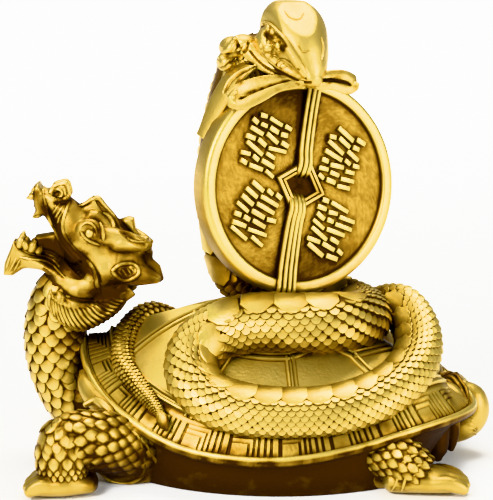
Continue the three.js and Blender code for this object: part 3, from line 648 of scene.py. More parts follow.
# %% [markdown]
# ## Scales in step along the body
# The scales shrink with the body, so they are counted in beats: one beat is one row
# of scales, and it is shorter where the body is thinner. Every other row on a flank
# starts half a beat later, which makes the fish-scale pattern. On the thin tail the
# scales are fewer and rounder, as on the casting.
# %% The snake's scales
SCALE_SHARE, FLANK_START, FLANK_END, FLANK_ROWS = 0.355, 22.0, 160.0, 11
TAIL_LENGTH, COARSE_FROM, COARSE_TO, COARSE_BY = 84, 105, 75, 1.4
SINK, BACK_SINK, BACK_TOP = 0.012, 0.03, 88
ON_BODY, ON_TAIL = (1.2, 2.0, 0.08), (1.5, 2.5, 0.28)
coarse = np.interp(run, (run[-1] - COARSE_FROM, run[-1] - COARSE_TO), (1, COARSE_BY))
pace = SCALE_SHARE * coarse * np.maximum(fine_radius, 1.2)
beat = np.concatenate([[0], np.cumsum(np.diff(run) / pace[:-1])])
row_step = (FLANK_END - FLANK_START) / FLANK_ROWS
tail_start, tail_end = beat[np.searchsorted(run, run[-1] - TAIL_LENGTH)], beat[-1] - 2.0


def snake_u(beats):
    return np.interp(beats, beat, fine)


def row_anchors(beats, angle, sizes):
    """One row of anchors along the body at an angle from the back, sizes as shares of the radius."""
    u = snake_u(beats)
    place, out, down, _, radius = on_snake(u, np.full(len(u), float(angle)))
    return place - out * (radius * SINK)[:, None], out, down * np.sign(angle), np.outer(radius, sizes)


def stacked(groups):
    return [np.vstack(parts) for parts in zip(*groups)]


def tail_anchors():
    sizes = (SCALE_SHARE * 1.5, 0.6, 0.28)
    return stacked(row_anchors(np.arange(tail_start + 0.5 * k, tail_end), angle, sizes)
                   for k, angle in enumerate((-11, 11)))


def shell_top(places):
    """The dome's height below each place, and nothing outside the dome."""
    x, y = (places[:, 0] - SHELL_CENTRE) / SHELL_HALF_LENGTH, places[:, 1] / SHELL_HALF_WIDTH
    share, angle = np.hypot(x, y) / BORDER_SHARE, np.degrees(np.arctan2(-y, -x))
    return np.where(share < 1, dome_point(angle, np.minimum(share, 1))[:, 2], -99)


def flank_anchors(on_tail):
    long, wide, high = ON_TAIL if on_tail else ON_BODY
    sizes = (SCALE_SHARE * long, math.radians(row_step) * wide, high)
    groups = []
    for sign in (1, -1):
        for row in range(0, FLANK_ROWS, 2 if on_tail else 1):
            beats = (np.arange(tail_start + 0.25 * (row % 4), tail_end) if on_tail
                     else np.arange(3.0 + 0.5 * (row % 2), tail_start))
            groups.append(row_anchors(beats, sign * (FLANK_START + (row + 0.42) * row_step), sizes))
    parts = stacked(groups)
    in_shell = shell_top(parts[0]) > parts[0][:, 2] + 1.0
    return [group[~in_shell] for group in parts]


def back_anchors():
    """The wide plates of the back, one on three beats, up to where the head's skin begins."""
    beats = np.arange(2.5, tail_start, 3.0)
    place, out, _, ahead, radius = on_snake(snake_u(beats), np.zeros(len(beats)))
    low = place[:, 2] < BACK_TOP
    size = np.outer(radius, (1.34, SCALE_SHARE * 3.3, 0.1))
    return (place - out * (radius * BACK_SINK)[:, None])[low], out[low], ahead[low], size[low]


place, _, back, side, radius = snake_frame(snake_u(np.linspace(0, beat[-1], 420)))
around = np.linspace(0, 2 * np.pi, 22, endpoint=False)
snake_tube = loft(oval(place, back, side, radius, radius, around), 0.2)
flank_scales = plant(ROUND_SCALE, flank_anchors(False))
back_plates = join([plant(PLATE, back_anchors(), spread=0.02), plant(CUSHION, tail_anchors(), spread=0.15),
                    plant(CUSHION, flank_anchors(True), spread=0.15)])
barb = limb([[-27.4, -36.4, 24.6, 1.4, 1.2], [-26.6, -37.8, 23.2, 2.2, 1.0], [-25.8, -39.2, 21.8, 1.9, 0.8],
             [-24.8, -40.6, 20.4, 0.4, 0.3]], sides=16, across=(0.8, -0.3, 0.5))
print("snake triangles", len(snake_tube[1]), len(flank_scales[1]), len(back_plates[1]))

# %% [markdown]
# ## Melting forms together
# Heads, feet and cloth folds are built like clay: many rounded limbs and eggs pushed
# into each other. A voxel remesh melts them to one skin without seams, and a little
# smoothing rounds the creases as casting does. The polish of each point is then read
# from its curvature: what stands out was buffed, what lies back kept its patina.
# %% Melt and mirror
def normals_of(points, triangles):
    a, b, c = (points[triangles[:, k]] for k in range(3))
    face, normal = np.cross(b - a, c - a), np.zeros_like(points)
    for k in range(3):
        for axis in range(3):
            normal[:, axis] += np.bincount(triangles[:, k], weights=face[:, axis], minlength=len(points))
    return unit(normal)


def curvature_polish(form, base=0.6, gain=1.5):
    """Polish read from the skin's shape: brighter than base on a ridge, darker in a crease."""
    points, triangles, _ = form
    edges = np.unique(np.sort(triangles[:, [[0, 1], [1, 2], [2, 0]]].reshape(-1, 2), 1), axis=0)
    both = np.vstack([edges, edges[:, ::-1]])
    count = np.maximum(np.bincount(both[:, 0], minlength=len(points)), 1)

    def mean(values):
        return np.bincount(both[:, 0], weights=values[both[:, 1]], minlength=len(points)) / count

    normal = normals_of(points, triangles)
    neighbour = np.stack([mean(points[:, k]) for k in range(3)], 1)
    edge = np.linalg.norm(points[edges[:, 0]] - points[edges[:, 1]], axis=1).mean()
    bulge = -np.sum((neighbour - points) * normal, 1) / edge
    for _ in range(3):
        bulge = 0.5 * bulge + 0.5 * mean(bulge)
    return points, triangles, np.clip(base + gain * bulge, 0.1, 1)


def melt(forms, voxel=0.4, smooth=3, base=0.6, gain=1.5, keep=1.0):
    """One skin over all the forms; keep is the share of its faces that stays."""
    obj = to_object("clay", join(forms))
    remesh = obj.modifiers.new("Melt", "REMESH")
    remesh.mode, remesh.voxel_size = "VOXEL", voxel
    soften = obj.modifiers.new("Soften", "SMOOTH")
    soften.factor, soften.iterations = 0.5, smooth
    if keep < 1:
        thin = obj.modifiers.new("Thin", "DECIMATE")
        thin.ratio = keep
    return curvature_polish(evaluated(obj), base, gain)


def mirrored(form):
    points, triangles, polish_and_shade = form
    return points * [1, -1, 1], triangles[:, ::-1], polish_and_shade


def near_and_far(forms):
    return [f for form in forms for f in (form, mirrored(form))]


print("melted egg", len(melt([egg((0, 0, 0), (4, 4, 4))])[1]), "triangles")

# %% [markdown]
# ## The coin
# The coin leans back and is turned a little away from the viewer, so it has its own
# frame: x across, y along the ribbon, z out of its face. All that lies on the coin is
# written in that frame, and moved to its place in one step.
# %% The coin's frame
COIN_CENTRE, COIN_TURN, COIN_LEAN, COIN_ROLL = np.array([17.9, -7.6, 92.2]), 28.0, 7.0, 11.5
COIN_RADIUS, COIN_THICKNESS, COIN_RIM, FIELD_DEPTH = 35.0, 9.0, 4.0, 1.5
HOLE_SIDE, HOLE_TURN = 8.0, 34.0
FIELD_POLISH, HOLE_POLISH, HOLE_DROP = 0.295, 0.25, 0.5


def turning(degrees):
    """The matrix that turns a point in the plane, for points written as rows."""
    a = math.radians(degrees)
    return np.array([[math.cos(a), math.sin(a)], [-math.sin(a), math.cos(a)]])


def coin_axes():
    """The coin's own x, y and z, as directions in the scene."""
    turn, lean, roll = (math.radians(v) for v in (COIN_TURN, COIN_LEAN, -COIN_ROLL))
    face = np.array([math.sin(turn) * math.cos(lean), -math.cos(turn) * math.cos(lean), math.sin(lean)])
    across = unit(np.cross([0, 0, 1], face))
    up = np.cross(face, across)
    x, y = math.cos(roll) * across + math.sin(roll) * up, math.cos(roll) * up - math.sin(roll) * across
    return np.stack([x, y, face])


COIN_AXES = coin_axes()


def on_coin(form):
    points, triangles, polish_and_shade = form
    return points @ COIN_AXES + COIN_CENTRE, triangles, polish_and_shade


print("the coin faces", COIN_AXES[2].round(2).tolist())

# %% [markdown]
# ## The coin's body
# The body is a turned form: one profile goes round its axis. The field inside the rim
# is grainy on the casting, like sand, so each of its points is moved a little with a
# fixed seed. The double line round the blind square hole is closed on itself.
# %% The coin's body
def turned(profile, sides, polish_and_shade):
    """A form turned round the z axis from a profile of (radius, z) points."""
    a = np.linspace(0, 2 * np.pi, sides, endpoint=False)
    rings = [np.stack([r * np.cos(a), r * np.sin(a), np.full_like(a, z)], -1) for r, z in profile]
    return loft(rings, polish_and_shade)


def closed_loop(rings, polish_and_shade):
    """Rings that close on themselves, as a frame or a hoop does."""
    rings = np.asarray(rings, float)
    count, sides = rings.shape[:2]
    r, i = np.meshgrid(np.arange(count), np.arange(sides), indexing="ij")
    s, j = (r + 1) % count, (i + 1) % sides
    quads = np.stack([r * sides + i, r * sides + j, s * sides + j, s * sides + i], -1).reshape(-1, 4)
    weights = np.broadcast_to(np.asarray(polish_and_shade, float)[:, None], (count, sides))
    return shape(rings.reshape(-1, 3), np.vstack([quads[:, [0, 1, 2]], quads[:, [0, 2, 3]]]),
                 weights.ravel())


def coin_body():
    r, back, field = COIN_RADIUS, -COIN_THICKNESS, COIN_RADIUS - COIN_RIM
    outer = [(0.5, back), (r - 3, back), (r - 1.0, back), (r - 0.3, back + 0.3), (r, back + 1.0), (r, -2.2),
             (r - 0.1, -1.2), (r - 0.4, -0.5), (r - 1.0, -0.08), (r - 1.6, 0), (field + 0.8, 0),
             (field + 0.35, -0.1), (field + 0.1, -0.4), (field - 0.15, -FIELD_DEPTH + 0.2),
             (field - 0.45, -FIELD_DEPTH)]
    shine = [0.3, 0.3, 0.4, 0.5, 0.5, 0.55, 0.7, 0.9, 0.95, 0.85, 0.85, 0.95, 0.6, 0.05, 0.1]
    inner = [(v, -FIELD_DEPTH) for v in np.linspace(field - 1.0, 0.6, 44)]
    points, triangles, polish_and_shade = turned(outer + inner, 180, shine + [FIELD_POLISH] * len(inner))
    radius = np.hypot(points[:, 0], points[:, 1])
    field_points = (radius < field - 0.8) & (points[:, 2] > -2)
    a = math.radians(HOLE_TURN)
    square = np.maximum(np.abs(points[:, 0] * math.cos(a) + points[:, 1] * math.sin(a)),
                        np.abs(points[:, 1] * math.cos(a) - points[:, 0] * math.sin(a)))
    grain = np.random.default_rng(11).uniform(-1, 1, len(points))
    points[:, 2] += np.where(field_points, 0.04 * grain, 0)
    polish_and_shade += np.where(field_points, 0.05 * grain, 0)
    in_hole = field_points & (square < HOLE_SIDE / 2 + 0.3)
    points[in_hole, 2] -= HOLE_DROP
    polish_and_shade[in_hole] = HOLE_POLISH
    return points, triangles, np.clip(polish_and_shade, 0, 1)


def hole_frame():
    """The double line round the hole, from a section of (distance out, z, polish)."""
    section = [(0.0, -3.0, 0.1), (0.1, -0.3, 0.6), (0.35, -0.1, 0.95), (0.95, -0.12, 0.9),
               (1.15, -0.5, 0.15), (1.4, -0.5, 0.15), (1.6, -0.1, 0.9), (2.3, -0.1, 0.95),
               (2.55, -0.35, 0.7), (2.75, -2.2, 0.0)]
    corners = np.array([(1, 1), (-1, 1), (-1, -1), (1, -1)], float) @ turning(HOLE_TURN)
    rings = [np.column_stack([corners * (HOLE_SIDE / 2 + out), np.full(4, z)]) for out, z, _ in section]
    return closed_loop(rings, [w for _, _, w in section])


print("frame of the hole", len(hole_frame()[1]), "triangles")

# %% [markdown]
# ## Strokes and ribbon on the coin
# The coin of the casting carries an inscription in four places. Here each place holds
# rows of short raised strokes that are no letters. The ribbon is three strands that
# dive into the hole and run on over the lower rim; each is a section swept on a path.
# %% Strokes and strands
def bar(length, width, height, centre, turn, sink=0.5):
    """A raised stroke with sloped sides and a soft top, laid on the coin's field."""
    half = np.array([(-0.5, -0.5), (0.5, -0.5), (0.5, 0.5), (-0.5, 0.5)]) * (length, width)
    rings, shine = [], []
    levels = ((0.3, -sink, 0.0), (0.12, height * 0.6, 0.45), (0.0, height * 0.9, 0.95), (-0.3, height, 0.9))
    for shrink, z, w in levels:
        size = half + np.sign(half) * shrink
        rings.append(np.column_stack([size @ turning(turn) + centre, np.full(4, z - FIELD_DEPTH)]))
        shine.append(w)
    return loft(rings, shine)


GROUPS = [(-14.6, 11.6), (14.0, 10.4), (-15.2, -10.6), (12.6, -12.8)]
GROUP_TILT, GROUP_WIDTH, ROW_PITCH = -16, 15.6, 2.7


def strokes():
    """Rows of bars of chance lengths and leans in the four places, from a fixed seed."""
    rng = np.random.default_rng(5)
    forms = []
    for cx, cy in GROUPS:
        for row in range(7):
            y = ROW_PITCH * (3 - row)
            half = (0.5 - 0.07 * (row in (0, 6))) * GROUP_WIDTH
            x = -half + rng.uniform(0, 1.5)
            while x < half - 2:
                length = min(rng.choice([2.4, 3.4, 5.0, 7.0]), half - x)
                middle, lean = x + length / 2, rng.choice([-14, -4, 5, 12])
                place = (cx, cy) + np.array([middle, y]) @ turning(GROUP_TILT)
                forms.append(bar(length, rng.uniform(1.15, 1.5), 1.25, place, GROUP_TILT + lean))
                x += length + 1.1
    return forms


STRAND = [(-0.72, -0.9), (-0.8, 0.1), (-0.6, 0.5), (-0.2, 0.68), (0.2, 0.68), (0.6, 0.5), (0.8, 0.1),
          (0.72, -0.9)]
STRAND_SHINE = [0.0, 0.3, 0.85, 0.95, 0.95, 0.85, 0.3, 0.0]


def strand(path, x):
    """A strand of the ribbon on a path of (y, height) points in the coin's frame."""
    keys = np.array([(x + shift, y, z) for y, z, shift in path], float)
    places, ahead = smooth_path(keys, np.linspace(0, 1, 40))
    normals = unit(np.cross(np.broadcast_to([1.0, 0, 0], ahead.shape), ahead))
    normals = np.where(normals[:, 2:] < -0.2, -normals, normals)
    return sweep(places, normals, STRAND, STRAND_SHINE)


UPPER = [(2.6, -3.0, 0), (4.2, -0.6, 0), (7.5, 0.6, 0), (12, -0.2, 0), (24, -0.3, 0.1), (31, 0.35, 0.1),
         (34, 0.6, 0.2), (37.5, 0.4, 0.3)]
LOWER = [(-2.8, -3.0, -0.5), (-4.6, -0.4, -0.5), (-7.5, 0.6, -0.5), (-12, -0.2, -0.6), (-26, -0.2, -1.0),
         (-31, 0.5, -1.2), (-34, 0.75, -1.3), (-35.8, -0.6, -1.4), (-37, -4, -1.5)]
ribbon = []
for k, x in enumerate((-1.75, 0.0, 1.75)):
    ribbon.append(strand([(y, z + 0.25 * (k == 1), s) for y, z, s in UPPER], x))
for k, x in enumerate((-2.1, -0.7, 0.7, 2.1)):
    fan = [(y, z + 0.2 * (k in (1, 2)), s - 0.4 + x * 0.35 * (-y / 36)) for y, z, s in LOWER]
    ribbon.append(strand(fan, x))
coin = [on_coin(f) for f in [coin_body(), hole_frame()] + strokes() + ribbon]
print("coin and ribbon", sum(len(f[1]) for f in coin), "triangles")

# %% [markdown]
# ## Carving by strokes
# A carver draws with the chisel: each stroke has a path, a width and a depth. The same
# is done here to the melted skin. A stroke is drawn in the side view, and every point
# of the skin near it moves in or out along its own normal. A raised stroke is a ridge,
# a sunk one a groove, and both sides of the head get the same stroke.
# %% Carving
NEAR_SIDE = -70.0


def near_hit(tree, x, z):
    """Where a ray from the near side first meets a skin: its place, normal, face and distance."""
    return tree.ray_cast((x, NEAR_SIDE, z), (0, 1, 0), -NEAR_SIDE)


def carve(form, strokes, steep=(0.12, 0.4)):
    """Strokes of (half width, height, [(x, z), ...]) drawn on the sides of a form."""
    points, triangles, polish_and_shade = form
    normal = normals_of(points, triangles)
    facing = np.clip((np.abs(normal[:, 1]) - steep[0]) / (steep[1] - steep[0]), 0, 1)
    moved = np.zeros(len(points))
    for width, height, path in strokes:
        line = smooth_path([(x, 0, z) for x, z in path], np.linspace(0, 1, 12 * len(path)))[0][:, [0, 2]]
        reach = 1.7 * width
        flat = points[:, [0, 2]]
        near = np.flatnonzero(((flat > line.min(0) - reach) & (flat < line.max(0) + reach)).all(1))
        gap = np.linalg.norm(flat[near][:, None] - line[None], axis=2)
        best = gap.argmin(1)
        end = np.abs(2 * best / (len(line) - 1) - 1)
        share = gap[np.arange(len(near)), best] / (reach * (1 - 0.45 * end**4))
        moved[near] += height * np.clip(1 - share**2, 0, 1) ** 2 * facing[near]
    return points + normal * moved[:, None], triangles, polish_and_shade


def skin_tree(form):
    return BVHTree.FromPolygons(form[0].tolist(), form[1].tolist())


egg_tree = skin_tree(egg((0, 0, 0), (4, 4, 4)))
print("a ray meets a test egg at y", near_hit(egg_tree, 0, 0)[0].y)

# %% [markdown]
# ## Strands laid on a skin
# The finest lines would need far more faces than the skin has, so they are thin limbs
# laid on it. Rays from the near side find the skin's depth along the path, and jumps
# in that depth are evened out, so that no strand falls into a gap.
# %% Laid strands
def laid(tree, radius, path, sink=0.25, ends=(0.4, 0.4)):
    """A strand laid on the near side of a skin, along a path of (x, z) points."""
    line = smooth_path([(x, 0, z) for x, z in path], np.linspace(0, 1, 5 * len(path)))[0]
    hits = [near_hit(tree, x, z)[0] for x, _, z in line]
    known = [k for k, hit in enumerate(hits) if hit]
    if len(known) < 4:
        print("no room for the strand at", path[0])
        return np.zeros((0, 3)), np.zeros((0, 3), int), np.zeros(0)
    line, hits = line[known[0]:known[-1] + 1], hits[known[0]:known[-1] + 1]
    known = [k for k, hit in enumerate(hits) if hit]
    depth = np.interp(np.arange(len(line)), known, [hits[k].y for k in known])
    middle, step = len(depth) // 2, np.linalg.norm(np.diff(line, axis=0), axis=1)
    for k in list(range(middle + 1, len(depth))) + list(range(middle - 1, -1, -1)):
        back = k - 1 if k > middle else k + 1
        reach = 1.3 * step[min(k, back)]
        depth[k] = np.clip(depth[k], depth[back] - reach, depth[back] + reach)
    for _ in range(3):
        depth[1:-1] = (depth[:-2] + 2 * depth[1:-1] + depth[2:]) / 4
    share = np.linspace(0, 1, len(line))
    size = radius * np.interp(share, (0, 0.2, 0.8, 1), (ends[0], 1, 1, ends[1]))
    keys = np.column_stack([line[:, 0], depth + radius * sink, line[:, 2], size, size])
    return limb(keys, sides=8, steps=len(line), blunt=(0.6, 0.6), polish_and_shade=0.72)


def on_side(tree, places, size, tip=(0.3, 0, -1)):
    """Anchors for scales at (x, z) places on the near side of a skin."""
    hits = [h for h in (near_hit(tree, x, z) for x, z in places) if h[0] is not None]
    out = np.array([h[1] for h in hits])
    out = np.where(out[:, 1:2] > 0, -out, out)
    return (np.array([h[0] for h in hits]), out, np.broadcast_to(np.asarray(tip, float), out.shape),
            np.broadcast_to(np.asarray(size, float), out.shape))


print("a test strand has", len(laid(egg_tree, 0.2, [(-2, 0), (0, 1), (2, 0)])[1]), "triangles")

# %% [markdown]
# ## Shade and patina where forms meet
# Rays go out from each point, and the share of them that is blocked close by is taken off its polish:
# painted shade where forms meet, along with the patina that stays where the buffing wheel can't reach in
# there. More painted shade and a few painted highlights are drawn in strokes.
# %% Contact and paint
GOLDEN_ANGLE = 2.39996


def contact_shade(forms, reach=2.0, rays=12, gain=1.0):
    """Painted shade: darkens each point by how much of its sky the forms next to it block."""
    points, triangles, polish_and_shade = join(forms)
    tree = BVHTree.FromPolygons(points.tolist(), triangles.tolist())
    normal = normals_of(points, triangles)
    tilt = np.arccos(np.sqrt(1 - (np.arange(rays) + 0.5) / rays))
    spin = np.arange(rays) * GOLDEN_ANGLE
    side = unit(np.cross(normal, np.where(np.abs(normal[:, 2:]) < 0.9, [0, 0, 1.0], [1.0, 0, 0])))
    up = np.cross(normal, side)
    shade = np.zeros(len(points))
    start = points + normal * 0.06
    turn = np.random.default_rng(2).uniform(0, 6.28, len(points))
    for a, b in zip(tilt, spin):
        c, s = np.cos(turn + b)[:, None], np.sin(turn + b)[:, None]
        way = normal * math.cos(a) + (side * c + up * s) * math.sin(a)
        for k, (origin, direction) in enumerate(zip(start.tolist(), way.tolist())):
            gap = tree.ray_cast(origin, direction, reach)[3]
            if gap is not None:
                shade[k] += 1 - gap / reach
    shade /= rays
    edges = np.vstack([triangles[:, [0, 1]], triangles[:, [1, 2]], triangles[:, [2, 0]]])
    count = np.maximum(np.bincount(edges[:, 0], minlength=len(points)), 1)
    for _ in range(2):
        nearby = np.bincount(edges[:, 0], weights=shade[edges[:, 1]], minlength=len(points)) / count
        shade = 0.4 * shade + 0.6 * nearby
    return points, triangles, np.clip(polish_and_shade - gain * shade, 0, 1)


def paint(form, strokes):
    """Strokes of painted shade and painted highlights, each (half width, change of polish, [(x, z), ...]),
    on both sides of a form.
    """
    points, triangles, polish_and_shade = form
    polish_and_shade = polish_and_shade.copy()
    for width, change, path in strokes:
        line = smooth_path([(x, 0, z) for x, z in path], np.linspace(0, 1, 8 * len(path)))[0][:, [0, 2]]
        flat = points[:, [0, 2]]
        near = np.flatnonzero(((flat > line.min(0) - width) & (flat < line.max(0) + width)).all(1))
        share = np.linalg.norm(flat[near][:, None] - line[None], axis=2).min(1) / width
        polish_and_shade[near] += change * np.clip(1 - share**2, 0, 1)
    return points, triangles, np.clip(polish_and_shade, 0, 1)


def thinned(form, keep):
    """The same skin with a share of its faces, the flat places thinned first."""
    obj = to_object("thin", form)
    obj.modifiers.new("Thin", "DECIMATE").ratio = keep
    return evaluated(obj)


print("least polish of a lone egg", round(float(contact_shade([egg((0, 0, 0), (4, 4, 4))])[2].min()), 2))

# %% [markdown]
# ## The snake's head
# The head bends down over the knot and is smooth on top. A bent limb and a few eggs
# are melted together, and the crown and one cheek are planed flatter, as with a file.
# %% Snake head in clay
def flatten(form, normal, drop, keep=0.12):
    """Planes a form off square to a normal, drop mm below its outermost point."""
    points, triangles, polish_and_shade = form
    normal = unit(normal)
    over = np.maximum(points @ normal - ((points @ normal).max() - drop), 0)
    return points - normal * (over * (1 - keep))[:, None], triangles, polish_and_shade


def carve_front(form, strokes, steep=(0.1, 0.35)):
    """Strokes in x and z on the side of a form that faces -Y, and none on its back."""
    points, triangles, polish_and_shade = carve(form, strokes, steep)
    facing = normals_of(form[0], form[1])[:, 1:2] < 0
    return np.where(facing, points, form[0]), triangles, polish_and_shade


HEAD_ACROSS = (0.905, 0.424, 0)
skull = limb([[9.6, 4, 139, 6, 6.6], [12.2, 4.6, 142.8, 8.6, 8.4], [14.4, -1, 142.2, 10.8, 9.6],
              [16.4, -6.6, 137.8, 10.2, 8.8], [18.6, -11, 133, 8, 7], [20.2, -14, 129.4, 5.6, 4.6],
              [20.8, -15.4, 127.4, 3.4, 3.2]], sides=60, steps=60, across=HEAD_ACROSS)
skull = flatten(skull, (0.2, -0.62, 0.76), 1.6)
skull = flatten(skull, (-0.86, -0.5, 0.1), 2.4, 0.2)
snake_head = melt([skull, egg((22.6, -6.5, 138), (2.4, 2.6, 2.8)), egg((7.3, -5.5, 137.3), (5.0, 6.0, 6.4)),
                   limb([[4, -5, 137, 1.6], [7.5, -9.5, 133.4, 2.4], [12, -13.4, 130.6, 2.2],
                         [16.5, -15.6, 128.2, 1.6]])], voxel=0.34, smooth=6)
print("snake head in clay", len(snake_head[1]), "triangles")

# %% [markdown]
# ## Drawing the snake's head
# The casting has a hollowed eye, and lines along the lips. Wide hollows are carved,
# fine lines are laid on as strands, and beads are small eggs set into the skin. The
# far side, which the photo doesn't show, stays smooth.
# %% Strokes of the snake's head
SNAKE_SWELLS = [
    (1.2, 0.8, [(5.8, 143.9), (8, 142.2), (11.3, 139.6), (13.5, 136.7), (15.4, 133.7), (17.3, 130.7),
                (19.1, 128.6)]),
    (1.9, -1.5, [(6.5, 141.1), (8.0, 140.6), (9.9, 139.5)]),
    (1.6, -0.7, [(10.3, 137.6), (11.5, 137.0)]),
    (1.1, 0.5, [(6.5, 137.3), (7.4, 136.0)]),
]
SNAKE_STRANDS = [
    (0.7, (0.4, 0.4), [(4.9, 144.8), (7.4, 144.2), (9.6, 142.5), (12.1, 140.0), (14.1, 137.0),
                       (16.0, 134.1), (17.9, 130.9), (19.2, 128.4)]),
    (0.3, (0.5, 0.5), [(8.5, 138.8), (8.8, 136.8), (10.3, 135.7), (12.0, 136.5)]),
    (0.35, (0.5, 0.5), [(8.8, 140.1), (10.4, 140.3), (11.8, 139.0), (12.6, 137.6)]),
    (0.3, (0.4, 0.4), [(5.2, 134.7), (5.7, 135.9), (7.0, 136.0)]),
    (0.3, (0.4, 0.4), [(7.6, 133.0), (7.9, 134.3), (9.0, 134.7), (10.1, 134.0)]),
    (0.4, (0.4, 0.4), [(9.3, 131.4), (10.1, 133.2), (11.5, 133.8), (13.6, 132.8), (15.7, 130.8)]),
    (0.35, (0.4, 0.4), [(10.9, 131.3), (11.9, 132.4), (13.1, 131.9), (14.7, 130.5)]),
    (0.5, (0.5, 0.5), [(3.3, 134.9), (4.9, 133.2), (7.4, 131.3), (10.6, 129.5), (13.8, 127.9),
                       (16.3, 126.8)]),
    (0.4, (0.5, 0.5), [(3.9, 136.3), (5.8, 134.1), (8.1, 132.4), (10.9, 130.5), (14.1, 129.0),
                       (17.0, 127.8), (19.5, 127.5), (22.0, 127.8)]),
    (0.2, (0.5, 0.5), [(12.1, 148.6), (13.2, 147.0), (15.0, 146.1), (16.8, 146.2), (18.1, 147.8)]),
    (0.2, (0.5, 0.5), [(15.9, 140.1), (16.4, 138.2), (17.8, 136.5), (19.9, 137.1)]),
    (0.45, (0.5, 0.5), [(23.7, 140.4), (24.2, 138.2), (24.0, 136.0), (23.6, 133.8)]),
]
# Painted shade, drawn in strokes round the eye, along the mouth and in the creases of the head.
SNAKE_PAINTED_SHADE = [
    (1.5, -0.75, [(6.5, 141.4), (7.7, 140.4)]),
    (1.0, -0.8, [(11.5, 137.9), (11.2, 137.0)]),
    (0.7, -0.5, [(9.0, 141.5), (10.9, 140.1), (12.5, 138.2)]),
    (0.75, -0.7, [(3.0, 135.7), (4.9, 133.6), (7.4, 131.7), (10.6, 130.0), (13.8, 128.6), (17.0, 127.2),
                  (20.1, 127.0)]),
    (0.5, -0.6, [(18.6, 128.5), (18.7, 128.3)]),
    (0.5, -0.5, [(16.1, 131.3), (16.5, 131.0)]),
    (0.35, -0.35, [(9.3, 131.9), (10.1, 133.5), (11.5, 134.1), (13.6, 133.2)]),
    (1.4, -0.2, [(12.2, 136.0), (13.8, 133.5), (16.0, 130.3)]),
    (0.35, -0.3, [(12.1, 148.3), (13.2, 146.7), (15.0, 145.8), (16.8, 145.9), (18.2, 147.6)]),
    (0.35, -0.35, [(16.2, 138.2), (17.7, 136.2), (19.7, 136.7)]),
    (2.4, -0.12, [(4.9, 148.6), (9.9, 150.5), (15.6, 149.8)]),
]
skull_skin = carve_front(snake_head, SNAKE_SWELLS)
skull_skin = curvature_polish(skull_skin, base=0.7, gain=0.7)
skull_tree = skin_tree(skull_skin)


def on_skin(tree, x, z, sink):
    return [x, near_hit(tree, x, z)[0].y + sink, z]


SNAKE_BEADS = [((10.1, 137.9, 0.3), (1.25, 1.2, 1.25), 0.95), ((4.8, 137.6, 0.3), (0.9, 0.7, 0.9), 0.85),
               ((6.9, 137.0, 0.6), (1.5, 1.0, 1.3), 0.8), ((12.0, 131.7, 0.5), (1.6, 0.9, 0.9), 0.8)]
snake_head = [skull_skin]
snake_head += [laid(skull_tree, r, path, ends=ends, sink=0.45) for r, ends, path in SNAKE_STRANDS]
snake_head += [egg(on_skin(skull_tree, *spot), half, polish_and_shade) for spot, half, polish_and_shade in SNAKE_BEADS]
# Contact rays and the strokes paint shade into the head's polish.
snake_head = paint(contact_shade(snake_head, gain=0.9), SNAKE_PAINTED_SHADE)
print("snake head", len(snake_head[1]), "triangles")

# %% [markdown]
# ## The bow
# The bow's loops are flat bands bent round, with a raised hem on each edge. The bow is
# melted apart from the head, so that the crease between the two stays sharp.
# %% The bow
def band_loop(keys, hem=0.55, across=(0, 0.35, 0.94), steps=60):
    """A flat band along [x, y, z, half width, half thickness], with a hem on each edge."""
    u = np.linspace(0, 1, steps)
    centre, ahead, side, up, wide, deep = limb_frame(keys, u, across)
    forms = [limb(keys, sides=24, steps=steps, across=across, blunt=(0.3, 0.3))]
    for sign in (-1, 1):
        edge = centre + side * (wide * sign * 0.92)[:, None]
        forms.append(limb(np.column_stack([edge, np.full((steps, 2), hem)])[::3], sides=10, steps=steps))
    return forms


LEFT_LOOP = [[18, -15, 126.8, 2, 0.9], [9, -15.6, 126.8, 2.2, 0.8], [2, -16, 125.6, 2.3, 0.8],
             [-3, -16, 123.4, 2.3, 0.9], [-4.6, -17, 121.2, 1.9, 1.1], [-1.5, -18, 120.6, 2.1, 0.9],
             [4, -17.6, 122.8, 2, 0.8], [10, -16.4, 125.8, 1.8, 0.8], [17, -15.4, 126.6, 1.6, 1]]
RIGHT_LOOP = [[20, -15, 127, 2, 1.0], [26, -13, 128.4, 1.5, 0.8], [31.5, -11, 128, 1.7, 0.8],
              [34.2, -9.6, 125.8, 1.9, 0.9], [32.4, -11, 124.2, 1.6, 0.8], [27, -13.2, 125.8, 1.5, 0.8],
              [21, -15, 126.4, 1.8, 1]]
UPPER_TAIL = [[18, -14.6, 127.4, 1.8, 1], [12, -13.6, 129.6, 1.6, 0.9], [6, -11.6, 131.6, 1.8, 0.9],
              [2.4, -9, 134, 1.9, 0.9], [-0.4, -7, 137, 2.2, 1.1]]
LEFT_TAIL = [[5, -6, 131.5, 3, 1.8], [0.5, -7, 130.6, 4.4, 1.8], [-3.8, -8, 127.4, 4.6, 1.5],
             [-7.6, -8.4, 122, 4.2, 1.2], [-10.6, -8.4, 116.6, 3.6, 1.0], [-13.2, -8.4, 111, 2.8, 0.9],
             [-14.6, -8.4, 108.2, 2.6, 0.8]]
LUMPS = [[(-4.6, -1.5, 136.4), (4.4, 6, 3.6)], [(-1.2, -3, 138.2), (4, 4.6, 2.6)],
         [(-6.6, -2, 131.8), (3.2, 6, 3.2)], [(1.6, -4, 136), (3, 4, 2.6)]]
bow_clay = band_loop(LEFT_LOOP) + band_loop(RIGHT_LOOP) + band_loop(UPPER_TAIL) + [
    limb(LEFT_TAIL, sides=30, steps=40, across=(0.75, -0.6, 0.2), blunt=(0.6, 0)),
    egg((18.8, -14.4, 127.3), (4, 2.8, 2.4))]
bow_clay += [egg(centre, half) for centre, half in LUMPS]
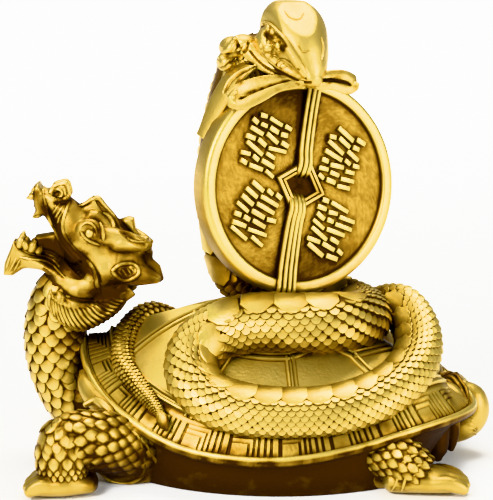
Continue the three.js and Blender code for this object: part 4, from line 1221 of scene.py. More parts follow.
BOW_FOLDS = [
    (0.5, -0.9, [(-6.4, 134.8), (-3.5, 134.6), (-0.5, 136), (0.6, 138.6)]),
    (0.5, -0.9, [(-9, 130), (-7.3, 130.2), (-5.2, 132), (-1.8, 132.6), (2, 131.9)]),
    (0.45, -0.8, [(-3.4, 139.2), (-2.6, 137), (-3.4, 135.2)]),
    (0.5, -0.9, [(14, 127.8), (9, 126.6), (4, 124.9), (0, 123.2), (-2, 121.9)]),
    (0.45, -0.8, [(3, 131), (-1.5, 129.4), (-5, 126.6), (-7, 123)]),
    (0.4, -0.7, [(13, 129.1), (8, 130.2), (3.6, 133), (1, 136)]),
    (0.45, -0.9, [(22, 127.2), (27, 127.2), (31.6, 126.2), (33, 125.4)]),
    (0.8, 0.6, [(-8.6, 133.6), (-6, 136), (-3, 140)]),
    (0.7, 0.6, [(-3.6, 124.2), (-4.9, 122), (-4, 120.4)]),
]
bow = curvature_polish(carve_front(melt(bow_clay, voxel=0.34, smooth=2), BOW_FOLDS), base=0.58)
# Contact rays paint shade into the folds of the bow.
bow = contact_shade([bow], gain=0.8)
print("bow", len(bow[1]), "triangles")

# %% [markdown]
# ## Rows of scales on a limb
# The legs and the neck carry broad lozenge scales. They are planted on the limb
# itself: rows go round it, each row half a scale on from the last, and the tips follow
# the limb towards the foot or down the neck.
# %% Rows of scales on a limb
def limb_anchors(stations, pitch, width, reach, size, tip_sign=1):
    """Rows of anchors round a limb. reach is the part of it that they cover, and size
    holds the scale's width, length and height as shares of its row's width and pitch."""
    u_fine = np.linspace(0, 1, 400)
    centre = limb_frame(stations, u_fine)[0]
    run_along = np.concatenate([[0], np.cumsum(np.linalg.norm(np.diff(centre, axis=0), axis=1))])
    start, stop = np.interp(reach, u_fine, run_along)
    groups = []
    for row, distance in enumerate(np.arange(start, stop, pitch)):
        u = np.interp([distance], run_along, u_fine)
        centre, ahead, side, up, wide, deep = limb_frame(stations, u)
        girth = math.pi * (wide[0] + deep[0])
        count = max(int(round(girth / width)), 3)
        a = np.radians((np.arange(count) + 0.5 * (row % 2)) * 360 / count)
        spot = centre + side * np.cos(a)[:, None] * wide + up * np.sin(a)[:, None] * deep
        out = unit(side * np.cos(a)[:, None] / wide + up * np.sin(a)[:, None] / deep)
        sizes = [girth / count * size[0], pitch * size[1], width * size[2]]
        tip = np.broadcast_to(ahead * tip_sign, out.shape)
        groups.append((spot, out, tip, np.broadcast_to(sizes, out.shape)))
    return stacked(groups)


test_rows = limb_anchors([[0, 0, 0, 4], [0, 0, 30, 4]], 3, 4, (0, 1), (1, 1, 0.2))
print("a test limb carries", len(test_rows[0]), "scales")

# %% [markdown]
# ## The legs and feet
# Each leg is a limb through its joints, with an egg for the thigh and four rounded
# toes, all melted together. Folds of skin are laid on it and scales planted over it.
# It is shaped once for the near side and mirrored.
# %% The legs
FRONT_LEG = [[-30, -26, 9, 8, 9], [-40, -31.5, 12.4, 9, 9.4], [-48.5, -37, 15.8, 9, 9.4],
             [-57, -40.5, 16, 8.4, 8.6], [-57.6, -42, 10, 7.4, 8.2], [-57.4, -42.5, 5, 6.8, 7]]
REAR_LEG = [[33, -28, 12, 8, 8.4], [42, -34.5, 11.6, 7.6, 8], [49.5, -38.5, 9.2, 7.6, 7.8],
            [55.5, -40, 5.6, 7.4, 5.6]]


def toes(heel, tip, row, top):
    """Four rounded toes side by side, from the heel's x to the tip's x."""
    forms = []
    for k in range(4):
        y, x = row[0] + row[1] * k, tip - (0.9 if k in (0, 3) else 0) * (1 if tip > 0 else -1)
        stations = [[heel, y, top * 0.62, 2.2], [(heel + x) / 2, y, top * 0.62, 2.5],
                    [x * 0.97 + heel * 0.03, y, 2.5, 2.1], [x, y, 1.5, 1.3]]
        forms.append(limb(stations, blunt=(0.3, 0.6), steps=12))
    return forms


front_clay = [limb(FRONT_LEG, sides=36, steps=40, blunt=(0, 0)), egg((-37, -27, 8), (13, 9, 11)),
              limb([[-49, -41.5, 3.4, 5.5, 3], [-57, -42, 4.2, 8, 4.4], [-64, -42, 3.6, 8, 3.8],
                    [-67.4, -42, 2.6, 7.4, 2.4]], sides=30)]
front_clay += toes(-61, -68.6, (-48, 4), 7)
rear_clay = [limb(REAR_LEG, sides=36, steps=40, blunt=(0, 0)), egg((41, -31, 6), (13.4, 9, 8.6)),
             limb([[46, -39, 4, 6.5, 4.2], [54, -39.5, 4.4, 8, 4.4], [62, -39.5, 3.6, 7.8, 3.6],
                   [66.5, -39.5, 2.6, 7, 2.4]], sides=30)]
rear_clay += toes(58, 69.0, (-45.5, 4), 7)
front_leg = melt(front_clay, voxel=0.5, base=0.5, gain=0.8, keep=0.4)
rear_leg = melt(rear_clay, voxel=0.5, base=0.5, gain=0.8, keep=0.4)
front_tree, rear_tree = skin_tree(front_leg), skin_tree(rear_leg)
FRONT_FOLDS = [
    (0.7, (0.5, 0.3), [(-37.0, 20.3), (-35.5, 18.6), (-34.1, 16.5), (-33.3, 13.6), (-32.7, 10.3),
                       (-32.4, 6.6), (-33.7, 3.3), (-36.0, 1.1)]),
    (0.7, (0.5, 0.3), [(-34.2, 16.6), (-32.0, 14.3), (-30.6, 11.3), (-28.9, 8.3), (-28.3, 5.3),
                       (-29.1, 2.3), (-30.9, -0.1)]),
    (0.6, (0.5, 0.3), [(-46.5, 3.3), (-44.3, 1.1), (-40.5, 0.1), (-36.7, 0.6), (-34.1, 2.3), (-31.8, 4.6)]),
]
# Painted shade on the hip behind the front leg, low down near the ground.
FRONT_PAINTED_SHADE = [
    (9, -0.3, [(-45.1, 9.0), (-38.5, 7.7), (-30.6, 8.0)]),
    (5, -0.25, [(-46.4, 6.3), (-40.1, 3.7), (-30.6, 3.7)]),
    (4, -0.1, [(-42.4, 21.2), (-36.8, 16.3), (-33.7, 11.3)]),
]
REAR_FOLDS = [
    (0.5, (0.5, 0.4), [(45.4, 1.5), (46.9, 5.1), (48.1, 8.7), (49.9, 12.0), (53.0, 14.1)]),
    (0.55, (0.5, 0.4), [(48.5, 1.5), (49.3, 5.1), (50.6, 8.4), (53.1, 10.2), (56.8, 11.0)]),
    (0.5, (0.5, 0.4), [(47.7, 10.7), (50.5, 12.6), (54.0, 13.5), (56.8, 12.5)]),
    (0.45, (0.5, 0.4), [(51.6, 5.4), (52.2, 7.4), (53.7, 8.9)]),
]
KNEE_SCALES = [(-61.4, 21.8), (-59.2, 23.7), (-56.6, 25.0), (-60.5, 18.9), (-58.0, 21.1), (-55.1, 22.8),
               (-58.7, 16.6), (-61.2, 16.2), (-56.1, 18.9)]
front_forms = [front_leg] + [laid(front_tree, r, path, ends=ends) for r, ends, path in FRONT_FOLDS] + [
    plant(CUSHION, limb_anchors(FRONT_LEG, 2.9, 4.2, (0.1, 0.84), size=(1.02, 1.8, 0.22)), seed=5),
    plant(CUSHION, limb_anchors(FRONT_LEG, 1.6, 2.2, (0.87, 0.96), size=(1.0, 1.7, 0.3)), seed=7),
    plant(CUSHION, on_side(front_tree, KNEE_SCALES, (4.2, 4.6, 1.1)), seed=4)]
rear_forms = [rear_leg] + [laid(rear_tree, r, path, ends=ends) for r, ends, path in REAR_FOLDS] + [
    plant(CUSHION, limb_anchors(REAR_LEG, 2.3, 3.3, (0.08, 0.97), size=(1.04, 1.8, 0.26)), spread=0.2,
          seed=6)]
front_forms += [limb([[-53.4, -14, 31.6, 1.2], [-52.4, -17, 28.6, 2.6], [-50.2, -20.5, 26.0, 3.2],
                      [-46.9, -25, 24.0, 3.2], [-43.0, -29, 22.2, 2.4]], polish_and_shade=0.62),
                limb([[-51.6, -27, 24.6, 1.0], [-48.4, -27, 26.0, 1.3], [-45.4, -29.6, 25.0, 1.4],
                      [-42.5, -32, 22.6, 1.2]], polish_and_shade=0.7)]
# Contact rays and the strokes paint shade into the legs' polish.
legs = [paint(contact_shade(front_forms, rays=10), FRONT_PAINTED_SHADE), contact_shade(rear_forms, rays=10)]
legs_both = near_and_far(legs)
print("legs", sum(len(f[1]) for f in legs_both), "triangles")

# %% [markdown]
# ## The tail and the lobes beside it
# Under the rear of the rim hang folds of skin in deep shade, and the short tail curls
# up behind them with a flare on each side. They are melted from limbs like the feet.
# The thin hatching on the tail is laid on it line by line, each a step lower.
# %% The turtle's tail
tail_clay = [limb([[58, 0, 11, 6], [70, 0, 10, 6.6], [75, 0, 13, 6.2], [75.6, 0, 18.5, 5],
                   [72, 0, 22.6, 2.8]], sides=40, steps=40)]
for s in (-1, 1):
    tail_clay.append(limb([[62.4, 12 * s, 11.9, 4, 4.6], [62.5, 13 * s, 7.4, 3.8, 4.4],
                           [62.9, 13.6 * s, 4.3, 3.2, 3.4], [63.2, 13.8 * s, 2.1, 1.6, 1.4]],
                          sides=20, steps=16))
    tail_clay.append(limb([[68.4, 8 * s, 12.7, 2.6], [68.3, 9 * s, 7.9, 2.2], [67.9, 9.4 * s, 4.1, 1.3]],
                          sides=16, steps=12))
FLARES = [
    [[63.8, -4, 23.7, 1.5], [66.8, -4, 25.1, 1.4], [68.5, -7, 23.9, 1.2], [69.9, -9, 22.1, 1.0],
     [71.3, -12, 20.9, 0.7]],
    [[65.8, -1, 24.6, 1.3], [68.0, -2, 26.1, 1.3], [70.0, -5, 24.7, 1.2], [71.3, -8, 22.8, 1.0],
     [72.2, -11, 21.3, 0.7]],
    [[67.8, 0, 25.8, 0.9], [69.9, -1, 26.6, 0.9], [71.4, -4, 25.2, 0.9], [72.8, -7, 23.5, 0.9],
     [72.9, -11, 20.9, 0.6]],
]
TAIL_WING = [(63.1, -5, 22.3, 3.4, 2.2), (66.6, -5.5, 23.8, 3.6, 2.2), (69.4, -7.5, 22.7, 3.4, 2),
             (71.5, -10, 20.3, 2.6, 1.6)]
tail_clay += [limb([[x, y * s, z, w, d] for x, y, z, w, d in TAIL_WING], sides=20, steps=16)
              for s in (-1, 1)]
tail_skin = melt(tail_clay, voxel=0.4, base=0.5, keep=0.6)
tail_tree = skin_tree(tail_skin)
flare_forms = [limb(path, sides=16, steps=24, polish_and_shade=0.4) for path in FLARES]
# Painted shade on the folds that hang under the rear of the rim.
TAIL_PAINTED_SHADE = [(7, -0.3, [(58, 16), (60, 8), (62, 4)]), (4, -0.2, [(68, 20), (68, 12), (70, 6)]),
               (6, -0.4, [(61, 13), (62, 8), (62.6, 2)]), (3.5, -0.35, [(67.4, 12), (67.6, 8), (67.6, 3)])]
hatching = []
for k in range(11):
    line = [(68.5 + 0.5 * k, 22.5 - 1.5 * k), (72 + 0.5 * k, 22.4 - 1.6 * k),
            (74.6 + 0.3 * k, 20.6 - 1.6 * k)]
    hatching.append(laid(tail_tree, 0.22, line, sink=0.6))
# Contact rays and the strokes paint shade into the tail's polish.
turtle_tail = paint(contact_shade([tail_skin] + near_and_far(flare_forms + hatching)), TAIL_PAINTED_SHADE)
print("tail", len(turtle_tail[1]), "triangles")

# %% [markdown]
# ## The dragon's neck
# The neck carries broad lozenge scales with their tips down. The scales stop where the beard hangs over
# them.
# %% Neck
NECK = [[-38, 0, 14, 12, 11], [-54, 0, 18, 11, 11.5], [-61.4, 0, 28, 10, 10.2], [-63.6, 0, 42, 9.4, 10],
        [-60.5, 0, 54, 9, 9.6], [-54, 0, 62, 8.5, 8.5]]
neck_skin = limb(NECK, sides=40, steps=50, blunt=(0, 0), polish_and_shade=0.1)
neck_anchors = limb_anchors(NECK, 2.8, 5.2, (0.26, 0.84), size=(1.0, 1.9, 0.13), tip_sign=-1)
neck_scales = plant(SHIELD, neck_anchors, seed=8)
# Contact rays paint shade round the feet of the scales.
neck = contact_shade([neck_skin, neck_scales], reach=1.6, rays=8, gain=0.95)
print("neck", len(neck[1]), "triangles")

# %% [markdown]
# ## The dragon's head in clay
# The head is seen from the side, so its crest, snout and jaws start as flat plates cut
# to their outline in x and z, each with its own thickness across. Limbs and eggs fill
# them out to cheeks and brows. All of it is melted into one skin later.
# %% Dragon head in clay
def plate(outline, half, soft=1.3):
    """A plate across the body from its outline in x and z, with rounded edges."""
    outline = np.asarray(outline, float)
    before, after = outline - np.roll(outline, 1, 0), np.roll(outline, -1, 0) - outline
    turn = np.sum(outline[:, 0] * np.roll(outline[:, 1], -1) - np.roll(outline[:, 0], -1) * outline[:, 1])
    inward = unit(unit(before) + unit(after))[:, ::-1] * [-1, 1] * np.sign(turn)
    rings = []
    for y, inset in ((-half, soft), (-half + 0.3 * soft, 0.45 * soft), (-half + soft, 0), (half - soft, 0),
                     (half - 0.3 * soft, 0.45 * soft), (half, soft)):
        spot = outline + inward * inset
        rings.append(np.column_stack([spot[:, 0], np.full(len(spot), y), spot[:, 1]]))
    return loft(rings)


CREST = [[-59, 80], [-56.6, 83.8], [-54, 84.3], [-51.6, 85.4], [-50.3, 88], [-47.5, 84.9], [-44.2, 81.3],
         [-41.6, 79.9], [-38.6, 80.9], [-36.8, 80.4], [-36.3, 76.8], [-34.8, 74.4], [-32.4, 74.4],
         [-31.6, 72.6], [-31.8, 70.4], [-30.7, 69], [-31.0, 66.6], [-28.4, 64.2], [-27.2, 59.6],
         [-28.6, 58.6], [-33, 58.2], [-36.3, 57.3], [-44, 58], [-52, 64]]
SIDE_CREST = [[-56, 79], [-51, 83.5], [-48.6, 83.2], [-44, 78.6], [-40, 76.4], [-37, 73], [-34, 71],
              [-33.5, 66], [-31.0, 62.5], [-32, 60.5], [-38, 59.5], [-48, 62]]
MOUTH_WALL = [[-69.5, 74.5], [-62.6, 75.6], [-60.1, 72], [-52, 66], [-52.8, 62.5], [-58.6, 63.3],
              [-63.2, 66], [-69, 69.6]]
BEARD_INNER = [[-63.9, 59.8], [-63.4, 56.6], [-61.6, 54.6], [-58.6, 53.2], [-54.8, 52.6], [-51, 52.8],
               [-47.2, 53.4], [-43.6, 55.2]]
BEARD_OUTER = [[-65.2, 53], [-63.4, 48.6], [-59.8, 44.6], [-55.4, 42.4], [-51.2, 42.8], [-47.4, 44.6],
               [-43.6, 47.2], [-40.6, 50], [-39.2, 52.4]]
skull_clay = [
    limb([[-44, 0, 64, 8, 8], [-50, 0, 69.5, 9.5, 10], [-55.5, 0, 76, 8.2, 7.6], [-60.0, 0, 83, 6.2, 5.0],
          [-63.5, 0, 86.6, 5.6, 3.6], [-66.5, 0, 88.6, 4.4, 2]], sides=40, steps=40),
    egg((-47.5, 0, 64), (9.5, 9.6, 8.5)), plate(CREST, 2.2), plate(SIDE_CREST, 5.2),
    plate([[-62, 86], [-64.6, 87.6], [-64.2, 90.4], [-60.4, 92], [-58.6, 91.2], [-57.6, 86.4]], 4.2),
    plate([[-69.4, 91.2], [-67.9, 92.3], [-65.4, 88], [-64.4, 83], [-62.6, 78], [-63.6, 77.6],
           [-66.2, 81.6], [-69.3, 81.2], [-70.2, 80.9], [-69, 83.2], [-69.4, 85.4], [-69.8, 88]], 4.8),
    limb([[-50, 0, 58, 8.5, 6.5], [-58, 0, 60, 8, 4.6], [-66, 0, 64.6, 6, 2.2], [-72, 0, 66.8, 5, 3.2],
          [-75, 0, 69.2, 4.4, 2.8]], sides=36, steps=36),
    plate([[-76.4, 73.2], [-79.6, 65.6], [-80.2, 61.6], [-77, 61.4], [-73.6, 63.6], [-70, 64.2], [-70, 68],
           [-73.6, 70]], 4.2),
    plate(MOUTH_WALL, 3.0), egg((-57, 0, 58), (8, 8.4, 5.4)),
    plate([[-64, 59], [-64, 51], [-60, 46.4], [-55, 44], [-48, 46], [-43, 49.4], [-40, 53], [-39, 57],
           [-45, 60]], 7.6, 2),
    egg((-61, 0, 54.6), (3.4, 10.8, 4.6)), egg((-56.4, 0, 51.6), (8.2, 11.2, 6.4)),
    egg((-55, 0, 56.6), (8.4, 9.2, 5.6)), egg((-41.5, 0, 66.5), (8, 7.6, 7)),
] + both_sides(lambda s: [
    limb([[-47, 6.4 * s, 75.6, 3.2], [-40, 5.6 * s, 74, 3.2], [-34, 3.4 * s, 72.4, 2.0],
          [-31.6, 2.6 * s, 71.6, 1.1]], sides=20),
    limb([[-42, 5 * s, 63.5, 4.2], [-35, 4.4 * s, 62, 3.6], [-29.6, 3 * s, 60.4, 1.7]], sides=20),
    egg((-51.2, 7.2 * s, 77), (4.6, 2.6, 4.4))])
print("forms of the dragon's head", len(skull_clay))

# %% [markdown]
# ## Teeth and beard
# The teeth are short cones in pairs. The beard is a fan of ribs, thick and thin in
# turn, that hang from an inner line towards an outer one and swell in the middle.
# %% Teeth and beard
TEETH = [[-74.4, 71.6, -73.4, 75.4, 1.1], [-72.2, 70.8, -73.6, 74.2, 1.0],
         [-70.6, 70.2, -69.0, 73.6, 1.2], [-68.4, 69.6, -66.8, 71.8, 1.0],
         [-68.6, 88.2, -72.0, 87.4, 0.9], [-66.8, 82.8, -70.0, 80.8, 1.0],
         [-67.2, 85.8, -69.6, 84.6, 0.8], [-68.4, 90.4, -70.2, 90, 0.8]]
teeth = []
for x, z, tip_x, tip_z, r in TEETH:
    end_x, end_z = x * 0.15 + tip_x * 0.85, z * 0.15 + tip_z * 0.85
    for s in (-1, 1):
        stations = [[x, 3.2 * s, z, r * 1.15], [(x + tip_x) / 2, 3.4 * s, (z + tip_z) / 2, r * 1.15],
                    [end_x, 3.4 * s, end_z, r * 0.42]]
        teeth.append(limb(stations, sides=12, steps=8, polish_and_shade=0.7))
ribs = np.linspace(0.08, 1, 18)
rib_top, rib_foot = (smooth_path([(x, 0, z) for x, z in arc], ribs)[0]
                     for arc in (BEARD_INNER, BEARD_OUTER))
rib_foot = rib_top + 0.8 * (rib_foot - rib_top)
for k, (a, b) in enumerate(zip(rib_top, rib_foot)):
    r = 1.0 if k % 2 else 1.2
    wide = float(np.interp(a[0], (-64, -58, -50, -43), (10.9, 11.3, 9.4, 6.6)))
    for s in (-1, 1):
        stations = [[a[0], (wide - 1) * s, a[2] + 0.4, 0.6],
                    [(a[0] * 2 + b[0]) / 3, wide * s, (a[2] * 2 + b[2]) / 3, r],
                    [(a[0] + b[0] * 3) / 4, (wide - 0.5) * s, (a[2] + b[2] * 3) / 4, r],
                    [b[0], (wide - 2.4) * s, b[2], 0.8]]
        skull_clay.append(limb(stations, sides=12, steps=12))
for k in range(6):
    a, b = np.array([-44.0 + 0.75 * k, 57.2 + 0.42 * k]), np.array([-41.6 + 0.85 * k, 52.6 + 0.6 * k])
    for s in (-1, 1):
        skull_clay.append(limb([[a[0], 6.3 * s, a[1], 0.6], [b[0], 5.2 * s, b[1], 1.0]], sides=10, steps=6))
print("with the beard", len(skull_clay), "forms, and", len(teeth), "teeth")

# %% [markdown]
# ## Drawing the face
# The wrinkles of the casting are as sharp as chisel cuts. Wide swells and hollows are carved into the skin
# first, then fine strands are laid over it: lip lines, the brow, the rim of the ear, and one on each rib of
# the beard. Painted shade and a few painted highlights go in last.
# %% Strokes of the dragon head
HEAD_SWELLS = [
    (4.0, 1.2, [(-60.9, 60.5), (-57.5, 58.7), (-53.3, 58.3), (-51, 60.5)]),
    (1.8, 1.0, [(-43.1, 71.7), (-39.7, 72.3), (-35.9, 71.3), (-32.5, 69.8)]),
    (2.6, -1.1, [(-51.6, 78.2), (-51, 76)]),
    (2.2, -1.0, [(-42.4, 64.2), (-40.2, 63.6), (-37.6, 63.6)]),
    (1.1, -1.2, [(-62.6, 88.9), (-61.4, 89.4)]),
    (0.8, -0.9, [(-62.4, 86.2), (-58.8, 86.4)]),
    (0.9, -0.9, [(-48.7, 86.4), (-46.5, 83.1), (-44, 80.5), (-41.2, 78.8), (-38.9, 76.3), (-36.3, 74),
                 (-33.2, 72.2)]),
    (1.0, -1.2, [(-73.6, 71.2), (-69.2, 70), (-64.7, 68.9), (-61.3, 66.7), (-58.2, 65), (-55.4, 65.7),
                 (-54.2, 67)]),
    (0.8, -0.7, [(-66.2, 64.1), (-63.5, 61.4), (-61.6, 59.1), (-58.6, 56.4), (-54.8, 54.8), (-50.3, 54.3)]),
    (1.0, -0.7, [(-60.6, 83), (-60.2, 76), (-56.6, 71.4), (-52.4, 68), (-49.2, 64.4), (-47.8, 60.6)]),
]
for a, b in zip((rib_top[:-1] + rib_top[1:]) / 2, (rib_foot[:-1] + rib_foot[1:]) / 2):
    line = [(a[0] - 0.1, a[2] - 0.4), ((a[0] + b[0]) / 2 - 0.1, (a[2] + b[2]) / 2), (b[0], b[2] + 0.5)]
    HEAD_SWELLS.append((0.5, -0.5, line))
HEAD_STRANDS = [
    (0.75, (0.5, 0.3), [(-57.8, 86.2), (-59.0, 82.9), (-59.7, 79.6), (-59.4, 76.9), (-58.0, 74.0),
                        (-56.1, 71.6), (-53.9, 69.3), (-51.6, 67.3), (-50.0, 65.0), (-49.1, 62.3),
                        (-48.8, 59.6), (-48.2, 57.3), (-47.3, 55.3), (-46.5, 54.4)]),
    (0.55, (0.5, 0.5), [(-66.9, 91.8), (-66.0, 88.8), (-65.3, 85.2), (-65.0, 82.9), (-63.8, 79.2),
                        (-62.2, 75.6), (-60.6, 72.9), (-58.4, 70.2), (-55.8, 67.9), (-53.6, 65.9)]),
    (0.85, (0.6, 0.5), [(-63.9, 89.2), (-62.9, 91.0), (-60.9, 91.8), (-58.9, 92.0), (-58.2, 90.2),
                        (-58.0, 88.2), (-59.4, 87.2), (-61.3, 87.0)]),
    (0.4, (0.5, 0.5), [(-62.6, 89.5), (-61.6, 90.5), (-60.1, 89.8), (-60.2, 88.3), (-61.5, 88.0)]),
    (0.35, (0.4, 0.4), [(-60.4, 86.2), (-62.2, 83.9), (-63.4, 81.7)]),
    (0.35, (0.4, 0.4), [(-59.7, 85.2), (-61.4, 82.7), (-62.8, 80.2)]),
    (0.35, (0.4, 0.4), [(-59.1, 83.9), (-60.8, 81.6), (-61.8, 78.6)]),
    (0.5, (0.4, 0.4), [(-54.0, 78.3), (-52.9, 76.0), (-51.2, 74.5), (-49.2, 73.5), (-47.6, 72.8)]),
    (0.4, (0.4, 0.4), [(-53.7, 79.1), (-52.0, 80.3), (-50.1, 79.9), (-48.8, 78.3), (-48.4, 76.0)]),
    (0.7, (0.5, 0.4), [(-47.7, 79.9), (-46.6, 77.6), (-46.3, 74.6)]),
    (0.95, (0.5, 0.4), [(-46.8, 82.1), (-45.1, 80.8), (-43.8, 78.6), (-43.7, 75.8)]),
    (0.6, (0.4, 0.5), [(-56.2, 84.1), (-53.2, 85.0), (-50.3, 86.7), (-48.4, 86.8), (-46.5, 84.5),
                       (-43.6, 81.1), (-41.4, 77.6), (-38.8, 74.8), (-35.9, 73.5), (-33.0, 73.3)]),
    (0.55, (0.5, 0.4), [(-76.0, 72.7), (-74.1, 70.6), (-71.5, 69.2), (-68.9, 68.2), (-66.0, 67.4),
                        (-63.7, 66.4), (-61.2, 64.4), (-58.9, 63.0), (-56.6, 62.7), (-54.6, 63.5)]),
    (0.6, (0.5, 0.4), [(-76.2, 73.6), (-74.4, 71.7), (-71.8, 70.4), (-68.9, 69.2)]),
    (0.45, (0.5, 0.4), [(-74.2, 68.1), (-70.9, 67.4), (-67.0, 66.7), (-63.8, 65.4), (-61.2, 63.4),
                        (-58.9, 61.7)]),
    (0.35, (0.5, 0.4), [(-77.5, 68.2), (-78.9, 63.9)]),
    (0.35, (0.5, 0.4), [(-75.5, 67.5), (-77.9, 63.0)]),
    (0.35, (0.5, 0.4), [(-74.2, 67.2), (-76.4, 63.0)]),
    (0.3, (0.5, 0.4), [(-68.8, 70.8), (-65.8, 69.6), (-61.9, 68.1)]),
    (0.3, (0.5, 0.4), [(-68.5, 69.8), (-65.5, 68.6), (-62.0, 67.1)]),
    (0.35, (0.5, 0.4), [(-60.9, 72.5), (-59.8, 70.1), (-59.6, 68.1), (-60.3, 66.4)]),
]
EAR_RIM = [(-43.8, 64.2), (-42.5, 65.5), (-40.8, 66.4), (-38.5, 66.5), (-36.6, 65.9), (-35.2, 64.5),
           (-35.5, 62.9), (-37.3, 61.7), (-39.4, 61.0), (-41.4, 61.7), (-42.8, 62.9), (-43.8, 64.2)]
EAR_FOLDS = [[(-41.8, 64.2), (-40.6, 62.5)], [(-40.5, 64.7), (-38.9, 62.2)],
             [(-38.9, 65.0), (-37.6, 62.9)], [(-37.6, 65.0), (-36.6, 63.7)]]
# Painted shade in the mouth, the nostril, the valleys of the crest, round the ear and over the beard; the
# positive strokes are painted highlights on the cheek and along the horn lobe.
HEAD_PAINTED_SHADE_AND_HIGHLIGHTS = [
    (3.4, -0.5, [(-65.9, 71.6), (-61.7, 70.2), (-57.2, 66.5), (-53.9, 64.9)]),
    (2.4, -0.3, [(-61.0, 73.9), (-57.8, 70.2), (-54.5, 67.2)]),
    (1.6, -0.4, [(-42.3, 80.9), (-40.4, 77.9), (-37.8, 75.0)]),
    (2.6, -0.22, [(-51.4, 80.6), (-48.8, 80.6), (-47.9, 77.3)]),
    (2.4, -0.25, [(-55.9, 83.9), (-56.6, 79.6), (-56.0, 75.3)]),
    (3.6, -0.2, [(-41.8, 70.6), (-37.3, 69.0), (-32.4, 69.3)]),
    (4.0, -0.28, [(-46.5, 60.3), (-44.0, 57.9), (-41.3, 59.3)]),
    (3.2, -0.3, [(-33.1, 67.3), (-31.5, 63.0), (-34.8, 61.0)]),
    (3.0, -0.22, [(-59.0, 56.6), (-54.5, 55.3), (-49.2, 55.6)]),
    (2.0, -0.35, [(-61.3, 86.5), (-57.8, 86.5)]),
    (3, 0.12, [(-54.3, 63.3), (-52.4, 61.3)]),
    (3, 0.12, [(-47.7, 70.6), (-46.4, 67.3)]),
    (1.2, -0.3, [(-67.0, 66.5), (-61.8, 63.9), (-59.9, 61.5)]),
    (2.4, -0.3, [(-65.1, 64.0), (-63.2, 61.3)]),
    (2.2, 0.15, [(-41.7, 74.6), (-37.2, 73.0), (-32.4, 72.0)]),
]
print("strokes on the head:", len(HEAD_SWELLS), "wide,", len(HEAD_STRANDS), "fine")

# %% [markdown]
# ## The finished face
# The clay is melted and carved, and its flat places are thinned, since they need few
# faces. Strands, the rims of the ears and the pupils are made for the near side and
# mirrored. The teeth come in pairs already.
# %% The dragon's face
face = carve(melt(skull_clay, voxel=0.32, smooth=7), HEAD_SWELLS)
face = curvature_polish(thinned(face, 0.55), base=0.5, gain=0.85)
face_tree = skin_tree(face)
near_strands = [laid(face_tree, r, path, ends=ends) for r, ends, path in HEAD_STRANDS]
near_strands += [laid(face_tree, 0.6, EAR_RIM, ends=(1, 1), sink=0.0)]
near_strands += [laid(face_tree, 0.3, path) for path in EAR_FOLDS]
for k, (a, b) in enumerate(zip(rib_top, rib_foot)):
    line = [(a[0] - 0.2, a[2] - 0.2), ((a[0] + b[0]) / 2 - 0.3, (a[2] + b[2]) / 2), (b[0], b[2] + 0.8)]
    near_strands.append(laid(face_tree, 0.5 + 0.12 * (k % 2), line, sink=0.45))
near_strands += [egg(on_skin(face_tree, -51.0, 76.6, 0.5), (1.5, 1.3, 1.7), polish_and_shade=0.85)]
# Contact rays and these strokes paint shade and highlights into the face's polish.
dragon_head = paint(contact_shade([face] + near_and_far(near_strands) + teeth, gain=1.1), HEAD_PAINTED_SHADE_AND_HIGHLIGHTS)
print("dragon head", len(dragon_head[1]), "triangles")

# %% [markdown]
# ## Brass, patina and painted shade
# The brass is one metal all over. What changes from place to place is how much was buffed: the polish value
# of each point mixes bright gold with a brown patina that is rougher, and it also carries painted shade and
# painted highlights. A recess value, measured with rays from the surface, darkens what lies hidden, such as
# the belly under the rim: painted shade.
# %% The finish
# Colours from dark patina and painted shade up to bright gold.
SHADE_AND_PATINA_STOPS = [(0.0, (0.035, 0.014, 0.004)), (0.2, (0.17, 0.09, 0.013)), (0.45, (0.43, 0.29, 0.058)),
                (0.7, (0.66, 0.485, 0.125)), (1.0, (0.82, 0.655, 0.16))]
DULL, POLISHED = 0.56, 0.33


